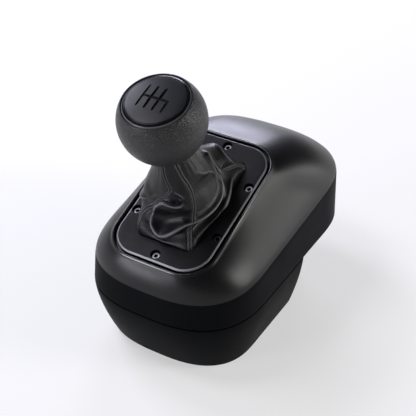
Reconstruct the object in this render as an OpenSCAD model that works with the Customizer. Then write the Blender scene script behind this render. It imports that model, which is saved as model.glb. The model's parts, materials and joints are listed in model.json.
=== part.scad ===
// Gear shifter for a racing simulator: a gated lever in a domed desk housing.
// X runs to the driver's right, Y away from the driver and Z up, in millimetres.
// The origin lies on the table, below the middle of the housing.

/* [Housing] */
// Width across the parting line
body_w = 115; // [105:1:130]
// Length along the parting line
body_l = 185; // [178:1:205]
// Height of the parting line above the table
parting_z = 43; // [41:0.5:50]
// Length of the rounded front end
front_l = 53; // [45:1:60]
// Length of the rounded rear end
rear_l = 54; // [45:1:60]
// Squareness of the plan outline, 2 for an ellipse
plan_power = 2.7; // [2.3:0.1:3.2]
// Wall of the housing shells
wall = 2.6; // [2:0.1:3.2]
// Dark gap between the upper shell and the base
seam_gap = 0.8; // [0.4:0.1:1.2]
// Height of the side band at the plate's centre
crease_h = 24.2; // [20:0.5:28]
// Slope of the crease above the side band
crease_tilt = 7; // [3:0.5:9]
// Draft of the side band at the sides
crease_inset_side = 0.9; // [0.5:0.1:2]
// Draft of the side band at the front
crease_inset_front = 2.5; // [1:0.1:4]
// Draft of the side band at the rear
crease_inset_rear = 2.2; // [1:0.1:4]
// Bulge of the dome at the sides
dome_side = 2.2; // [1:0.1:4]
// Bulge of the dome at the front
dome_front = 1.3; // [0.5:0.1:3]
// Bulge of the dome at the rear
dome_rear = 7.2; // [4:0.1:8]

/* [Base] */
// Length of the base from the front of the housing
base_l = 113.2; // [108:0.2:118]
// How far the base's sides draw in towards the table
base_taper_side = 8.2; // [5:0.1:11]
// How far the base's front draws in towards the table
base_taper_front = 12.8; // [8:0.1:16]
// Upright corners at the rear of the base
base_rear_r = 13; // [8:1:18]
// Steel plate under the base
base_plate_t = 2.5; // [2:0.1:4]
// How far the steel plate shows below the base's rim
base_plate_show = 1; // [0.5:0.1:1.5]
// Height of the rubber feet
foot_h = 2; // [1.5:0.1:4]
// Diameter of the rubber feet
foot_d = 16; // [12:1:20]
// Width of the two notches in the base's rim
notch_w = 6; // [3:0.5:10]
// Height of the two notches
notch_h = 3.2; // [2:0.1:5]
// Distance between the two M6 mounting threads
mount_pitch = 66; // [65:1:72]
// Bore of the mounting threads
mount_bore = 6; // [5:0.1:6.6]
// Length of the mounting inserts
mount_insert_l = 10; // [7:0.5:12]
// Wall of the mounting inserts
mount_insert_wall = 2; // [1.5:0.1:2.2]

/* [Top plate] */
// Width of the plate
plate_w = 66; // [64:0.5:70]
// Length of the plate along its slope
plate_l = 101.4; // [99:0.2:106]
// Corner radius of the plate
plate_r = 17; // [14:0.5:20]
// Thickness of the plate
plate_t = 3.4; // [3.2:0.1:4]
// Radius of the plate's polished edge
plate_edge_r = 1; // [0.6:0.1:1.4]
// Slope of the plate
plate_tilt = 20; // [16:0.5:22]
// Height of the plate's centre above the table
plate_h = 96.6; // [94:0.2:102]
// Distance of the plate's centre behind the front of the housing
plate_setback = 58.2; // [56:0.2:62]
// Groove between the plate and the shell
groove = 1.5; // [1:0.1:2]
// Width of the shell's lip outside the groove
lip_w = 1.3; // [1:0.1:2]
// Width of the boot opening
opening_w = 41; // [38:0.5:43]
// Length of the boot opening
opening_l = 74; // [70:0.5:76]
// Corner radius of the boot opening
opening_r = 6; // [4:0.5:8]
// Distance of the side screws from the middle line
screw_x = 28.9; // [28.3:0.1:30]
// Distance of the side screws along the slope from the plate's centre
screw_v = 20.4; // [16:0.1:24]
// Distance of the end screws along the slope from the plate's centre
end_screw_v = 45.5; // [45:0.1:47]
// Thread diameter of the plate screws
screw_d = 3; // [2.5:0.1:3]
// Head diameter of the plate screws
screw_head_d = 5.7; // [5:0.1:6]

/* [Boot] */
// Thickness of the leather
leather_t = 1.2; // [1:0.1:1.6]
// Radius of the boot where it meets the knob
boot_top_r = 9.9; // [9:0.1:11]
// Depth of the boot's folds
fold_depth = 2.2; // [1:0.1:3]

/* [Lever and knob] */
// Place of the lever along the slope from the plate's centre
lever_v = -5; // [-7:0.5:-4]
// Diameter of the lever
shaft_d = 10; // [9:0.1:11]
// Height of the knob's centre above the plate
knob_h = 77.3; // [74:0.1:82]
// Diameter of the ball knob
knob_d = 52; // [48:0.5:54]
// Flat under the knob, measured from its centre
knob_flat = 24.2; // [22:0.1:24.8]
// Diameter of the knob's cap
cap_d = 35.2; // [30:0.1:36]
// Height of the cap's edge above the knob's centre
cap_edge_h = 16; // [15:0.1:17]
// Width of the trim ring around the cap
trim_w = 2.1; // [1.5:0.1:2.4]
// Width of the engraved lines of the gate diagram
line_w = 1.3; // [0.8:0.1:1.8]
// Depth of the engraved lines
line_depth = 0.5; // [0.3:0.1:0.8]
// Distance between the columns of the gate diagram
column_pitch = 5.35; // [4.5:0.05:5.6]
// Half length of the strokes of the gate diagram
stroke_l = 8.3; // [7:0.1:9]

/* [Gate mechanism] */
// Depth of the pivot below the plate
pivot_depth = 30; // [28:0.5:32]
// Depth of the gate plate's middle below the pivot
gate_depth = 44; // [42:0.5:46]
// Thickness of the gate plate
gate_t = 4; // [3:0.1:4.5]
// Diameter of the gate pin
gate_pin_d = 4.5; // [4:0.1:5]
// Width of the gate's slots
slot_w = 6.2; // [6:0.1:6.6]
// Largest sideways tilt of the lever
select_angle = 10; // [8:0.5:10]
// Largest fore and aft tilt of the lever
shift_angle = 14; // [12:0.5:14]
// Travel of the lever when it is pressed down
press_travel = 6; // [4:0.5:6.5]
// Diameter of the trunnions and axle pins
pivot_d = 8; // [7:0.1:8.5]
// Wall of the bushes on the pivots
bush_wall = 1.5; // [1.2:0.1:2]
// Plate thickness of the mechanism's frame
frame_t = 3; // [2.5:0.1:3.5]
// Wire of the return spring
return_wire = 1.4; // [1:0.1:1.6]
// Wire of the centring springs
centring_wire = 0.7; // [0.5:0.1:0.8]

/* [Table clamps] */
// Distance of the clamps from the middle line
clamp_x = 22; // [20:0.5:24]
// Distance of the clamp screws behind the base
clamp_back = 12; // [11.5:0.5:14]
// Diameter of the clamp screws
clamp_d = 8; // [7:0.1:10]
// Diameter of the thumb wheels
thumb_d = 20; // [16:1:22]
// Width of the jaws
jaw_w = 18; // [16:1:24]
// Length of the jaws behind the base
jaw_l = 36; // [30:1:40]
// Thickness of the jaws
jaw_t = 5.5; // [5:0.1:6]
// Thickness of the rubber pads
pad_t = 2; // [1.8:0.1:2.4]
// Thickness of the floor under the overhang
floor_t = 3; // [2.5:0.1:4]

/* [Fits] */
// Radial running clearance of shafts in bores
run_fit = 0.05; // [0.02:0.01:0.1]
// Radial clearance of pieces that are fixed in a bore
seat_fit = 0.02; // [0.01:0.01:0.05]
// Free clearance between pieces that move apart
clear = 0.3; // [0.2:0.05:0.5]
// Radial clearance of screws in their through holes
hole_fit = 0.2; // [0.1:0.05:0.3]

/* [Hidden] */

$fn = 64;
// Overshoot of cuts past the faces that they open
over = 1;

// Lengths of the rounded ends and places along Y
front_y = front_l - body_l / 2;
rear_y = body_l / 2 - rear_l;
plate_y = plate_setback - body_l / 2;
base_rear_y = base_l - body_l / 2;
base_rear_l = base_rear_r + 7;

// Heights of the shells
shell_z = parting_z + seam_gap / 2;
base_top_z = parting_z - seam_gap / 2;
base_rim_z = foot_h + base_plate_show;
plate_under_z = foot_h + base_plate_t;
taper_power = 1.5;

// Steps of the lofted shells
corner_steps = 12;
side_steps = 5;
dome_steps = 6;
taper_steps = 6;
boot_steps = 11;
boot_corner_steps = 9;
boot_side_steps = 3;

// The ledge in the upper shell that carries the plate
ledge_t = 3;
ledge_margin = 4;
ledge_w = 2 * (screw_x - ledge_margin);
ledge_l = 2 * (end_screw_v - ledge_margin);
ledge_r = 9;
ledge_w0 = -plate_t;
ledge_w1 = ledge_w0 - ledge_t;
rim_side = 20;
lip_round = 0.6;
dome_wall = 2.5;

// The mechanism's frame, from the flange under the ledge to the gate
flange_t = 3;
flange_w1 = ledge_w1 - flange_t;
flange_margin = 1.5;
flange_land = 3.3;
flange_r = 15;
cheek_x = 24.5;
box_v = 22;
frame_end = 3.5;
gate_top = gate_t / 2 - gate_depth;
gate_bottom = -gate_t / 2 - gate_depth;
flange_drop = pivot_depth + flange_w1;
post_w = 8;
post_h = 10;
access_d = 20;

// The cradle, the yoke and what they carry, about the pivot
cradle_x = 11.6;
cradle_v = 13.4;
cradle_wall = 4.4;
cradle_end = 3.8;
cradle_h = 12;
cradle_out_x = cradle_x + cradle_wall;
cradle_out_v = cradle_v + cradle_end;
tab_depth = 26;
tab_t = 3;
tab_front = 6;
tab_rear = 13;
yoke_x = 11;
yoke_v = 8;
yoke_top = 16;
yoke_bottom = -14;
axle_inner = shaft_d / 2 + 1.6;
bush_d = pivot_d + 2 * bush_wall;
bush_flange_d = bush_d + 4;
bush_flange_t = 0.7;
cam_d = 20;
cam_t = 4;
sensor_t = 6;
sensor_w = 14;
trunnion_front = box_v + sensor_t - 1;
plunger_d = 5;
plunger_block = [7, 9, 10];
cam_gap = (plunger_d - cam_t) / 2 + clear;
ball_r = 1.2;
centring_v = 9;
centring_drop = 20;
centring_r = 3;
return_r = 7.2;
return_l = 18;
collar_d = 20;
collar_t = 4;
switch_size = [13, 6, 8];
switch_drop = 11;
button_h = 1.2;

// The lever's ends, measured from the pivot
shaft_bottom = -32;
pin_socket = 8;
pin_tip = gate_bottom - 5;
knob_w = pivot_depth + knob_h;
shaft_top = knob_w + 10;
boot_top = knob_h - knob_flat - clear;
insert_d = 16;
insert_top = 6;
nut_af = 17;
nut_t = 5;
nut_room = 12;
cap_t = 3;
cap_crown = 0.7;
cap_seat = cap_edge_h - cap_t;
trim_d = cap_d + 2 * trim_w + 0.2;
collar_h = 6;

// Screws and bosses
boss_r = 4;
boss_bite = 0.9;
boss_h = 15;
lug_h = 4;
lug_in = screw_head_d / 2 + 1.25;
lug_r = lug_in + boss_bite;
boss_front_y = front_y - 22;
boss_rear_y = rear_y + 22;
tap_d = 3;
post_front_y = front_y - 16;
post_rear_y = base_rear_y - 16;
post_front_x = half_width(post_front_y, base_taper_side + wall) - boss_r;
post_rear_x = body_w / 2 - base_taper_side - wall - boss_r + boss_bite;
base_post_h = 12;
head_h = 1.65;
head_sink = 2.6;

// The cable's socket: width, depth and height
port_size = [24, 11, 12];
port_z = 17;
port_rim = 3;
port_rim_t = 1.5;
port_wall = 2;

// The clamps
clamp_y = base_rear_y + clamp_back;
thumb_t = 6;
thumb_z = foot_h + 0.6;
thumb_grips = 12;
jaw_z = thumb_z + thumb_t + 1.4;
jaw_boss_d = clamp_d + 6;
jaw_boss_h = jaw_t + 3;
jaw_gap = port_rim_t + 2 * clear;
shoulder_d = clamp_d + 5;
shoulder_t = 2.5;
floor_z = base_top_z;
floor_top = floor_z + floor_t;
clip_t = 1.5;
pad_in = 3;
pad_split = 24;
pad_l = 20;
pad_r = 4;
pad_back = 18.6;
board_gap = 4.5;
board_margin = 14.8;
floor_front_y = base_rear_y - wall + clear;
board_front_y = clamp_y + shoulder_d / 2 + board_gap;
board_rear_y = body_l / 2 - board_margin;
board_size = [46, board_rear_y - board_front_y, 1.6];
board_y = (board_front_y + board_rear_y) / 2;
board_post_h = 5;
board_tap_d = 2.5;
board_head_d = 4.6;
board_socket = 2;
chip_l = 14;
chip_t = 1.4;
header_l = 5;
header_h = 6;
header_in = 3;

function lerp(a, b, t) = a + (b - a) * t;
function unit(v) = v / norm(v);
function crease_z(y) = parting_z + crease_h + (y - plate_y) * tan(crease_tilt);
function from_plate(p) = [
    p.x,
    plate_y + p.y * cos(plate_tilt) - p.z * sin(plate_tilt),
    plate_h + p.y * sin(plate_tilt) + p.z * cos(plate_tilt)
];

// One quarter of a superellipse and of a rounded rectangle, at angle t
function super_corner(power) = function(a, l, t)
    let (q = pow(pow(cos(t), power) + pow(sin(t), power), -1 / power))
    [a * cos(t) * q, l * sin(t) * q];
function round_corner(r) = function(a, l, t)
    let (
        c = a * cos(t),
        s = l * sin(t),
        mx = a - r,
        my = l - r,
        dd = c * c + s * s,
        dm = c * mx + s * my,
        q = (dm + sqrt(max(0, dm * dm - dd * (mx * mx + my * my - r * r)))) / dd
    )
    t < 90 && l * tan(t) <= my ? [a, l * tan(t)]
    : t >= 90 || a / tan(t) <= mx ? [t >= 90 ? 0 : a / tan(t), l]
    : [c * q, s * q];

// A closed ring from the middle of the front, round the right side and back on the left
function ring(half_w, front, rear, front_len, rear_len, front_corner, rear_corner,
        steps = corner_steps, straight = side_steps) =
    let (
        right = concat(
            [for (i = [0:steps])
                let (p = front_corner(half_w, front_len, 90 * (1 - i / steps)))
                [p.x, front - p.y]],
            [for (i = [1:straight - 1]) [half_w, lerp(front, rear, i / straight)]],
            [for (i = [0:steps])
                let (p = rear_corner(half_w, rear_len, 90 * i / steps))
                [p.x, rear + p.y]]
        )
    )
    concat(right, [for (i = [len(right) - 2:-1:1]) [-right[i].x, right[i].y]]);

function plan_ring(side, front, rear) =
    ring(body_w / 2 - side, front_y, rear_y, front_l - front, rear_l - rear,
        super_corner(plan_power), super_corner(plan_power));
function base_ring(side, front, rear) =
    ring(body_w / 2 - side, front_y, base_rear_y - base_rear_l, front_l - front,
        base_rear_l - rear, super_corner(plan_power), round_corner(base_rear_r - rear));
function slope_ring(w, l, r, steps = corner_steps, straight = side_steps) =
    ring(w / 2, -rim_side, rim_side, l / 2 - rim_side, l / 2 - rim_side,
        round_corner(r), round_corner(r), steps, straight);
function boot_outline(w, l, r) = slope_ring(w, l, r, boot_corner_steps, boot_side_steps);
function rim_ring(grow) =
    slope_ring(plate_w + 2 * grow, plate_l + 2 * grow, plate_r + grow);
function at_height(points, z) = [for (p = points) [p.x, p.y, z]];
function on_crease(points) = [for (p = points) [p.x, p.y, crease_z(p.y)]];
function on_slope(points, w) = [for (p = points) from_plate([p.x, p.y, w])];
function half_width(y, inset) =
    let (
        end = y < front_y ? (front_y - y) / front_l : max(0, y - rear_y) / rear_l
    )
    (body_w / 2 - inset) * pow(1 - pow(end, plan_power), 1 / plan_power);

// How far the dome stands out at a point of the crease
function dome_bulge(y) =
    y < front_y ? lerp(dome_side, dome_front, (front_y - y) / front_l)
    : lerp(dome_side, dome_rear, max(0, y - rear_y) / rear_l);
function dome_ring(low, high, t) =
    let (n = len(low))
    [for (i = [0:n - 1])
        let (
            along = low[(i + 1) % n] - low[(i + n - 1) % n],
            out = unit(cross(along, high[i] - low[i]))
        )
        lerp(low[i], high[i], t) + out * dome_bulge(low[i].y) * 4 * t * (1 - t)];

// A tube of rings, up its outside and down its inside, closed on itself
module loop_loft(rings) {
    n = len(rings[0]);
    m = len(rings);
    polyhedron(
        points = [for (r = rings, p = r) p],
        faces = [for (j = [0:m - 1], i = [0:n - 1], half = [0, 1])
            let (
                a = j * n + i,
                b = j * n + (i + 1) % n,
                c = ((j + 1) % m) * n + (i + 1) % n,
                d = ((j + 1) % m) * n + i
            )
            half == 0 ? [a, d, c] : [a, c, b]]
    );
}

// A round wire wound into a helix that stands on the XY plane
function coil_path(r, wire, turns, l, rings) =
    [for (i = [0:turns * rings])
        let (t = i / (turns * rings))
        [r * cos(360 * turns * t), r * sin(360 * turns * t), wire / 2 + (l - wire) * t]];
function coil_gap(path, wire, rings) =
    min([for (i = [0:len(path) - rings - 1]) norm(path[i + rings] - path[i])]) - wire;
module coil(r, wire, turns, l) {
    rings = 8;
    sides = 6;
    path = coil_path(r, wire, turns, l, rings);
    last = len(path) - 1;
    points = [for (i = [0:last], k = [0:sides - 1])
        let (
            out = unit([path[i].x, path[i].y, 0]),
            a = 360 * k / sides
        )
        path[i] + (out * cos(a) + [0, 0, 1] * sin(a)) * wire / 2];
    faces = concat(
        [for (k = [1:sides - 2]) [0, k, k + 1]],
        [for (i = [0:last - 1], k = [0:sides - 1], half = [0, 1])
            let (
                a = i * sides + k,
                b = i * sides + (k + 1) % sides,
                c = (i + 1) * sides + (k + 1) % sides,
                d = (i + 1) * sides + k
            )
            half == 0 ? [a, d, c] : [a, c, b]],
        [for (k = [1:sides - 2]) [last * sides, last * sides + k + 1, last * sides + k]]
    );
    polyhedron(points = points, faces = faces);
    echo(str("least gap of the coil to itself: ", coil_gap(path, wire, rings), " mm"));
}

module rounded(w, l, r) {
    square([w, l - 2 * r], center = true);
    square([w - 2 * r, l], center = true);
    for (x = [-1, 1], y = [-1, 1]) translate([x * (w / 2 - r), y * (l / 2 - r)]) circle(r);
}
module slot(w, l) {
    square([w, l], center = true);
    for (y = [-1, 1]) translate([0, y * l / 2]) circle(d = w);
}
module at_plate() {
    translate([0, plate_y, plate_h]) rotate([plate_tilt, 0, 0]) children();
}
module at_pivot() {
    at_plate() translate([0, lever_v, -pivot_depth]) children();
}
module along_x() {
    rotate([0, 90, 0]) children();
}
module along_v() {
    rotate([-90, 0, 0]) children();
}
module both_sides() {
    for (x = [-1, 1]) scale([x, 1, 1]) children();
}
module tube(d, bore, h) {
    difference() {
        cylinder(d = d, h = h);
        translate([0, 0, -over]) cylinder(d = bore, h = h + 2 * over);
    }
}
module screw(d, l, head_d, head, socket_d) {
    difference() {
        union() {
            translate([0, 0, -l]) cylinder(d = d, h = l);
            cylinder(d = head_d, h = head);
        }
        translate([0, 0, head / 3]) cylinder(d = socket_d, h = head, $fn = 6);
    }
}
module at_plate_screws() {
    for (x = [-1, 1], v = [-1, 1]) translate([x * screw_x, v * screw_v, 0]) children();
    for (v = [-1, 1]) translate([0, v * end_screw_v, 0]) children();
}
module at_boss(y) {
    for (x = [-1, 1]) translate([x * (half_width(y, wall) - lug_in), y, 0]) children();
}
module at_base_posts() {
    for (x = [-1, 1]) translate([x * post_front_x, post_front_y, 0]) children();
    for (x = [-1, 1]) translate([x * post_rear_x, post_rear_y, 0]) children();
}
module at_clamps(side) {
    translate([side * clamp_x, clamp_y, 0]) children();
}
module at_board_posts() {
    for (x = [-1, 1], y = [-1, 1])
        translate([x * (board_size.x / 2 - boss_r), board_y + y * (board_size.y / 2 - boss_r), 0])
            children();
}

// Housing

module upper_shell() {
    crease = on_crease(plan_ring(crease_inset_side, crease_inset_front, crease_inset_rear));
    rim = on_slope(rim_ring(groove + lip_w), -lip_round);
    inner_crease = on_crease(plan_ring(crease_inset_side + wall, crease_inset_front + wall,
        crease_inset_rear + wall));
    inner_rim = on_slope(rim_ring(groove + lip_w - dome_wall), ledge_w1);
    rings = concat(
        [at_height(plan_ring(0, 0, 0), shell_z), crease],
        [for (k = [1:dome_steps - 1]) dome_ring(crease, rim, k / dome_steps)],
        [
            rim,
            on_slope(rim_ring(groove + lip_w - lip_round), 0),
            on_slope(rim_ring(groove + lip_round / 2), 0),
            on_slope(rim_ring(groove), -lip_round / 2),
            on_slope(rim_ring(groove), ledge_w0),
            on_slope(slope_ring(ledge_w, ledge_l, ledge_r), ledge_w0),
            on_slope(slope_ring(ledge_w, ledge_l, ledge_r), ledge_w1),
            inner_rim
        ],
        [for (k = [2:-1:1]) dome_ring(inner_crease, inner_rim, k / 3)],
        [inner_crease, at_height(plan_ring(wall, wall, wall), shell_z)]
    );
    color("#17181a") difference() {
        union() {
            loop_loft(rings);
            translate([0, 0, parting_z]) at_boss(boss_front_y) cylinder(r = lug_r, h = boss_h);
            translate([0, 0, floor_top]) at_boss(boss_rear_y) cylinder(r = lug_r, h = boss_h);
        }
        at_plate() at_plate_screws() translate([0, 0, ledge_w1 - over])
            cylinder(d = screw_d + 2 * hole_fit, h = ledge_t + 2 * over);
        for (y = [boss_front_y, boss_rear_y]) translate([0, 0, base_top_z]) at_boss(y)
            cylinder(d = tap_d + 2 * seat_fit, h = boss_h);
    }
}

module lower_base() {
    depth = base_top_z - base_rim_z;
    outer = [for (k = [taper_steps:-1:0])
        let (t = k / taper_steps, q = pow(t, taper_power))
        at_height(base_ring(base_taper_side * q, base_taper_front * q, 0), base_top_z - depth * t)];
    inner = [for (k = [0:taper_steps])
        let (t = k / taper_steps, q = pow(t, taper_power))
        at_height(base_ring(base_taper_side * q + wall, base_taper_front * q + wall, wall),
            base_top_z - depth * t)];
    color("#141517") difference() {
        union() {
            loop_loft(concat(outer, inner));
            translate([0, 0, parting_z - lug_h]) at_boss(boss_front_y) cylinder(r = lug_r, h = lug_h);
            translate([0, 0, plate_under_z]) at_base_posts() cylinder(r = boss_r, h = base_post_h);
        }
        translate([0, 0, parting_z - lug_h - over]) at_boss(boss_front_y)
            cylinder(d = tap_d + 2 * hole_fit, h = lug_h + 2 * over);
        translate([0, 0, plate_under_z - over]) at_base_posts()
            cylinder(d = tap_d + 2 * seat_fit, h = base_post_h);
        notches();
        port_opening(clear);
    }
}

// Two pry notches in the base's rim, one at the front and one at the right
module notches() {
    front_x = -7;
    right_y = plate_y - 5;
    translate([front_x - notch_w / 2, -body_l / 2, base_rim_z - over])
        cube([notch_w, base_taper_front + 2 * wall, notch_h + over]);
    translate([body_w / 2 - base_taper_side - 2 * wall, right_y - notch_w / 2, base_rim_z - over])
        cube([4 * wall, notch_w, notch_h + over]);
}

module port_opening(gap) {
    translate([-port_size.x / 2 - gap, base_rear_y - port_size.y, port_z - port_size.z / 2 - gap])
        cube([port_size.x + 2 * gap, port_size.y + port_rim_t, port_size.z + 2 * gap]);
}

module base_plate() {
    grow = wall + clear;
    outline = base_ring(base_taper_side + grow, base_taper_front + grow, grow);
    color("#2b2c2e") difference() {
        translate([0, 0, foot_h]) linear_extrude(base_plate_t) polygon(outline);
        translate([0, 0, foot_h - over]) at_base_posts()
            cylinder(d = tap_d + 2 * hole_fit, h = base_plate_t + 2 * over);
        for (x = [-1, 1]) translate([x * mount_pitch / 2, plate_y, foot_h - over])
            cylinder(d = mount_bore + 2 * hole_fit, h = base_plate_t + 2 * over);
    }
}

module overhang_floor() {
    outline = plan_ring(wall + clear, wall + clear, wall + clear);
    color("#191a1c") difference() {
        union() {
            translate([0, 0, floor_z]) intersection() {
                linear_extrude(floor_t) polygon(outline);
                translate([-body_w, floor_front_y, -over]) cube([2 * body_w, body_l, floor_t + 2 * over]);
            }
            translate([0, 0, floor_top]) at_board_posts() cylinder(r = boss_r - 1, h = board_post_h);
        }
        for (side = [-1, 1]) at_clamps(side) translate([0, 0, floor_z - over])
            cylinder(d = clamp_d + 2 * run_fit, h = floor_t + 2 * over);
        translate([0, 0, floor_z - over]) at_boss(boss_rear_y)
            cylinder(d = tap_d + 2 * hole_fit, h = floor_t + 2 * over);
        translate([0, 0, floor_top]) at_board_posts()
            cylinder(d = board_tap_d + 2 * seat_fit, h = board_post_h + over);
    }
}

// The upright section of the plate's edge, rounded at the top
module edge_profile(w) {
    square([w - plate_edge_r, plate_t]);
    square([w, plate_t - plate_edge_r]);
    translate([w - plate_edge_r, plate_t - plate_edge_r]) circle(plate_edge_r);
}
module rounded_slab() {
    in_x = plate_w / 2 - plate_r;
    in_v = plate_l / 2 - plate_r;
    linear_extrude(plate_t) square([2 * in_x, 2 * in_v], center = true);
    for (turn = [0, 180]) rotate(turn) {
        translate([in_x, in_v, 0]) rotate([90, 0, 0]) linear_extrude(2 * in_v) edge_profile(plate_r);
        translate([-in_x, in_v, 0]) rotate([90, 0, 90]) linear_extrude(2 * in_x) edge_profile(plate_r);
    }
    for (corner = [[1, 1, 0], [-1, 1, 90], [-1, -1, 180], [1, -1, 270]])
        translate([corner.x * in_x, corner.y * in_v, 0]) rotate(corner.z)
            rotate_extrude(angle = 90) edge_profile(plate_r);
}
module top_plate() {
    color("#202124") at_plate() difference() {
        translate([0, 0, -plate_t]) rounded_slab();
        translate([0, 0, -plate_t - over]) linear_extrude(plate_t + 2 * over)
            rounded(opening_w, opening_l, opening_r);
        at_plate_screws() translate([0, 0, -plate_t - over])
            cylinder(d = screw_d + 2 * hole_fit, h = plate_t + 2 * over);
        at_plate_screws() translate([0, 0, -head_sink])
            cylinder(d = screw_head_d + 4 * hole_fit, h = head_sink + over);
    }
}

module plate_screws() {
    color("#8f9194") at_plate() at_plate_screws() translate([0, 0, -head_sink])
        screw(screw_d, -flange_w1 - head_sink, screw_head_d, head_h, 2.3);
}

// The boot's hem is clamped between the plate and this frame, which lies on the flange
hem_land = 2.7;
module boot_frame() {
    color("#1b1b1d") at_plate() translate([0, 0, ledge_w1])
        linear_extrude(ledge_t - leather_t - clear / 2) difference() {
            rounded(ledge_w - 2 * clear, ledge_l - 2 * clear, ledge_r - clear);
            rounded(opening_w, opening_l, opening_r);
        }
}

// Leather boot: a rounded rectangle at the plate that gathers into a circle under the knob
function fold(t, side) = fold_depth * sin(180 * t) * sin(720 * t + 60 * side);
function boot_ring(t, inset) =
    let (
        low = boot_outline(opening_w - 2 * clear, opening_l - 2 * clear, opening_r),
        shrink = pow(t, 0.8)
    )
    [for (start = low)
        let (
            a = atan2(start.y - lever_v, start.x),
            top = [boot_top_r * cos(a), lever_v + boot_top_r * sin(a)],
            p = lerp(start, top, shrink),
            q = p + unit(p - [0, lever_v]) * (fold(t, cos(2 * a)) - inset)
        )
        [q.x, q.y, boot_top * t]];
module boot() {
    hem_top = ledge_w0 - clear / 4;
    hem_w = ledge_w - 2 * hem_land;
    hem_l = ledge_l - 2 * hem_land;
    neck_w = opening_w - 2 * clear;
    neck_l = opening_l - 2 * clear;
    hem = boot_outline(hem_w, hem_l, ledge_r - hem_land);
    neck = boot_outline(neck_w, neck_l, opening_r);
    neck_in = boot_outline(neck_w - 2 * leather_t, neck_l - 2 * leather_t, opening_r - leather_t);
    rings = concat(
        [at_height(hem, hem_top - leather_t), at_height(hem, hem_top), at_height(neck, hem_top)],
        [for (k = [0:boot_steps]) boot_ring(k / boot_steps, 0)],
        [for (k = [boot_steps:-1:0]) boot_ring(k / boot_steps, leather_t)],
        [at_height(neck_in, hem_top - leather_t)]
    );
    color("#121213") at_plate() loop_loft(rings);
}

// Mechanism

module mechanism_frame() {
    in_x = cheek_x;
    window_w = plunger_block.y + 4 * clear;
    out_x = cheek_x + frame_t;
    color("#6e7276") at_pivot() difference() {
        union() {
            translate([0, -lever_v, flange_drop]) linear_extrude(flange_t) difference() {
                rounded(plate_w - 2 * flange_margin, plate_l - 2 * flange_margin, flange_r);
                rounded(ledge_w - 2 * flange_land, ledge_l - 2 * flange_land, ledge_r - flange_land);
            }
            translate([0, 0, gate_top]) linear_extrude(flange_drop - gate_top) difference() {
                square([2 * out_x, 2 * box_v], center = true);
                square([2 * in_x, 2 * (box_v - frame_end)], center = true);
            }
            for (x = [-1, 1], v = [-1, 1])
                translate([x * (in_x - post_w / 2), v * (box_v - frame_end - post_w / 2), gate_top])
                    linear_extrude(post_h) square(post_w, center = true);
        }
        translate([0, -lever_v, 0]) at_plate_screws() translate([0, 0, flange_drop - over])
            cylinder(d = screw_d + 2 * seat_fit, h = flange_t + 2 * over);
        translate([0, -box_v - over, 0]) along_v()
            cylinder(d = bush_d + 2 * seat_fit, h = 2 * (box_v + over));
        translate([-out_x - over, 0, 0]) along_x() cylinder(d = access_d, h = 2 * (out_x + over));
        translate([-out_x - over, -window_w / 2, -tab_depth])
            cube([2 * (out_x + over), window_w, tab_depth]);
        at_gate_screws() translate([0, 0, gate_top - over]) cylinder(d = tap_d + 2 * seat_fit, h = post_h);
    }
}
module at_gate_screws() {
    for (x = [-1, 1], v = [-1, 1])
        translate([x * (cheek_x - post_w / 2), v * (box_v - frame_end - post_w / 2), 0]) children();
}

module trunnion_bushes() {
    color("#b08d4a") at_pivot() for (turn = [0, 180]) rotate(turn)
        translate([0, box_v - frame_end - bush_flange_t, 0]) along_v() {
            tube(bush_d, pivot_d + 2 * run_fit, frame_end + bush_flange_t);
            tube(bush_flange_d, pivot_d + 2 * run_fit, bush_flange_t);
        }
}

// Three lanes and a cross slot that the gate pin runs in
module gate_plate() {
    lane = gate_depth * tan(select_angle);
    reach = gate_depth * tan(shift_angle) / cos(select_angle);
    color("#9a9da0") at_pivot() translate([0, 0, gate_bottom]) difference() {
        linear_extrude(gate_t) difference() {
            square([2 * (cheek_x + frame_t), 2 * box_v], center = true);
            for (x = [-1, 0, 1]) translate([x * lane, 0]) slot(slot_w, 2 * reach);
            rotate(90) slot(slot_w, 2 * lane);
        }
        at_gate_screws() translate([0, 0, -over])
            cylinder(d = tap_d + 2 * hole_fit, h = gate_t + 2 * over);
    }
}
module gate_screws() {
    color("#8f9194") at_pivot() translate([0, 0, gate_bottom]) at_gate_screws() rotate([180, 0, 0])
        screw(tap_d, gate_t + post_h - 2, screw_head_d, head_h, 2.3);
}

module select_sensor() {
    color("#2f5f8f") at_pivot() translate([0, -box_v - sensor_t, 0]) along_v()
        tube(bush_flange_d + 3, pivot_d + 2 * clear, sensor_t);
}

module centring_springs() {
    spring_l = cheek_x - cradle_out_x - clear;
    color("#c8cacc") at_pivot() both_sides()
        translate([cradle_out_x + clear / 2, centring_v, -centring_drop]) along_x()
            coil(centring_r, centring_wire, 4, spring_l);
}

module control_board() {
    color("#1f5c3a") translate([0, 0, floor_top + board_post_h]) difference() {
        union() {
            translate([0, board_y, board_size.z / 2]) cube(board_size, center = true);
            translate([-chip_l / 2, board_front_y + header_in, board_size.z])
                cube([chip_l, board_size.y - header_l - 3 * header_in, chip_t]);
            translate([-board_size.x / 4, board_rear_y - header_in - header_l, board_size.z])
                cube([board_size.x / 2, header_l, header_h]);
        }
        translate([0, 0, -over]) at_board_posts()
            cylinder(d = board_tap_d + 2 * hole_fit, h = board_size.z + 2 * over);
    }
}
module board_screws() {
    color("#8f9194") translate([0, 0, floor_top + board_post_h + board_size.z]) at_board_posts()
        screw(board_tap_d, board_post_h + board_size.z - clear, board_head_d, head_h, board_socket);
}

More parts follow.
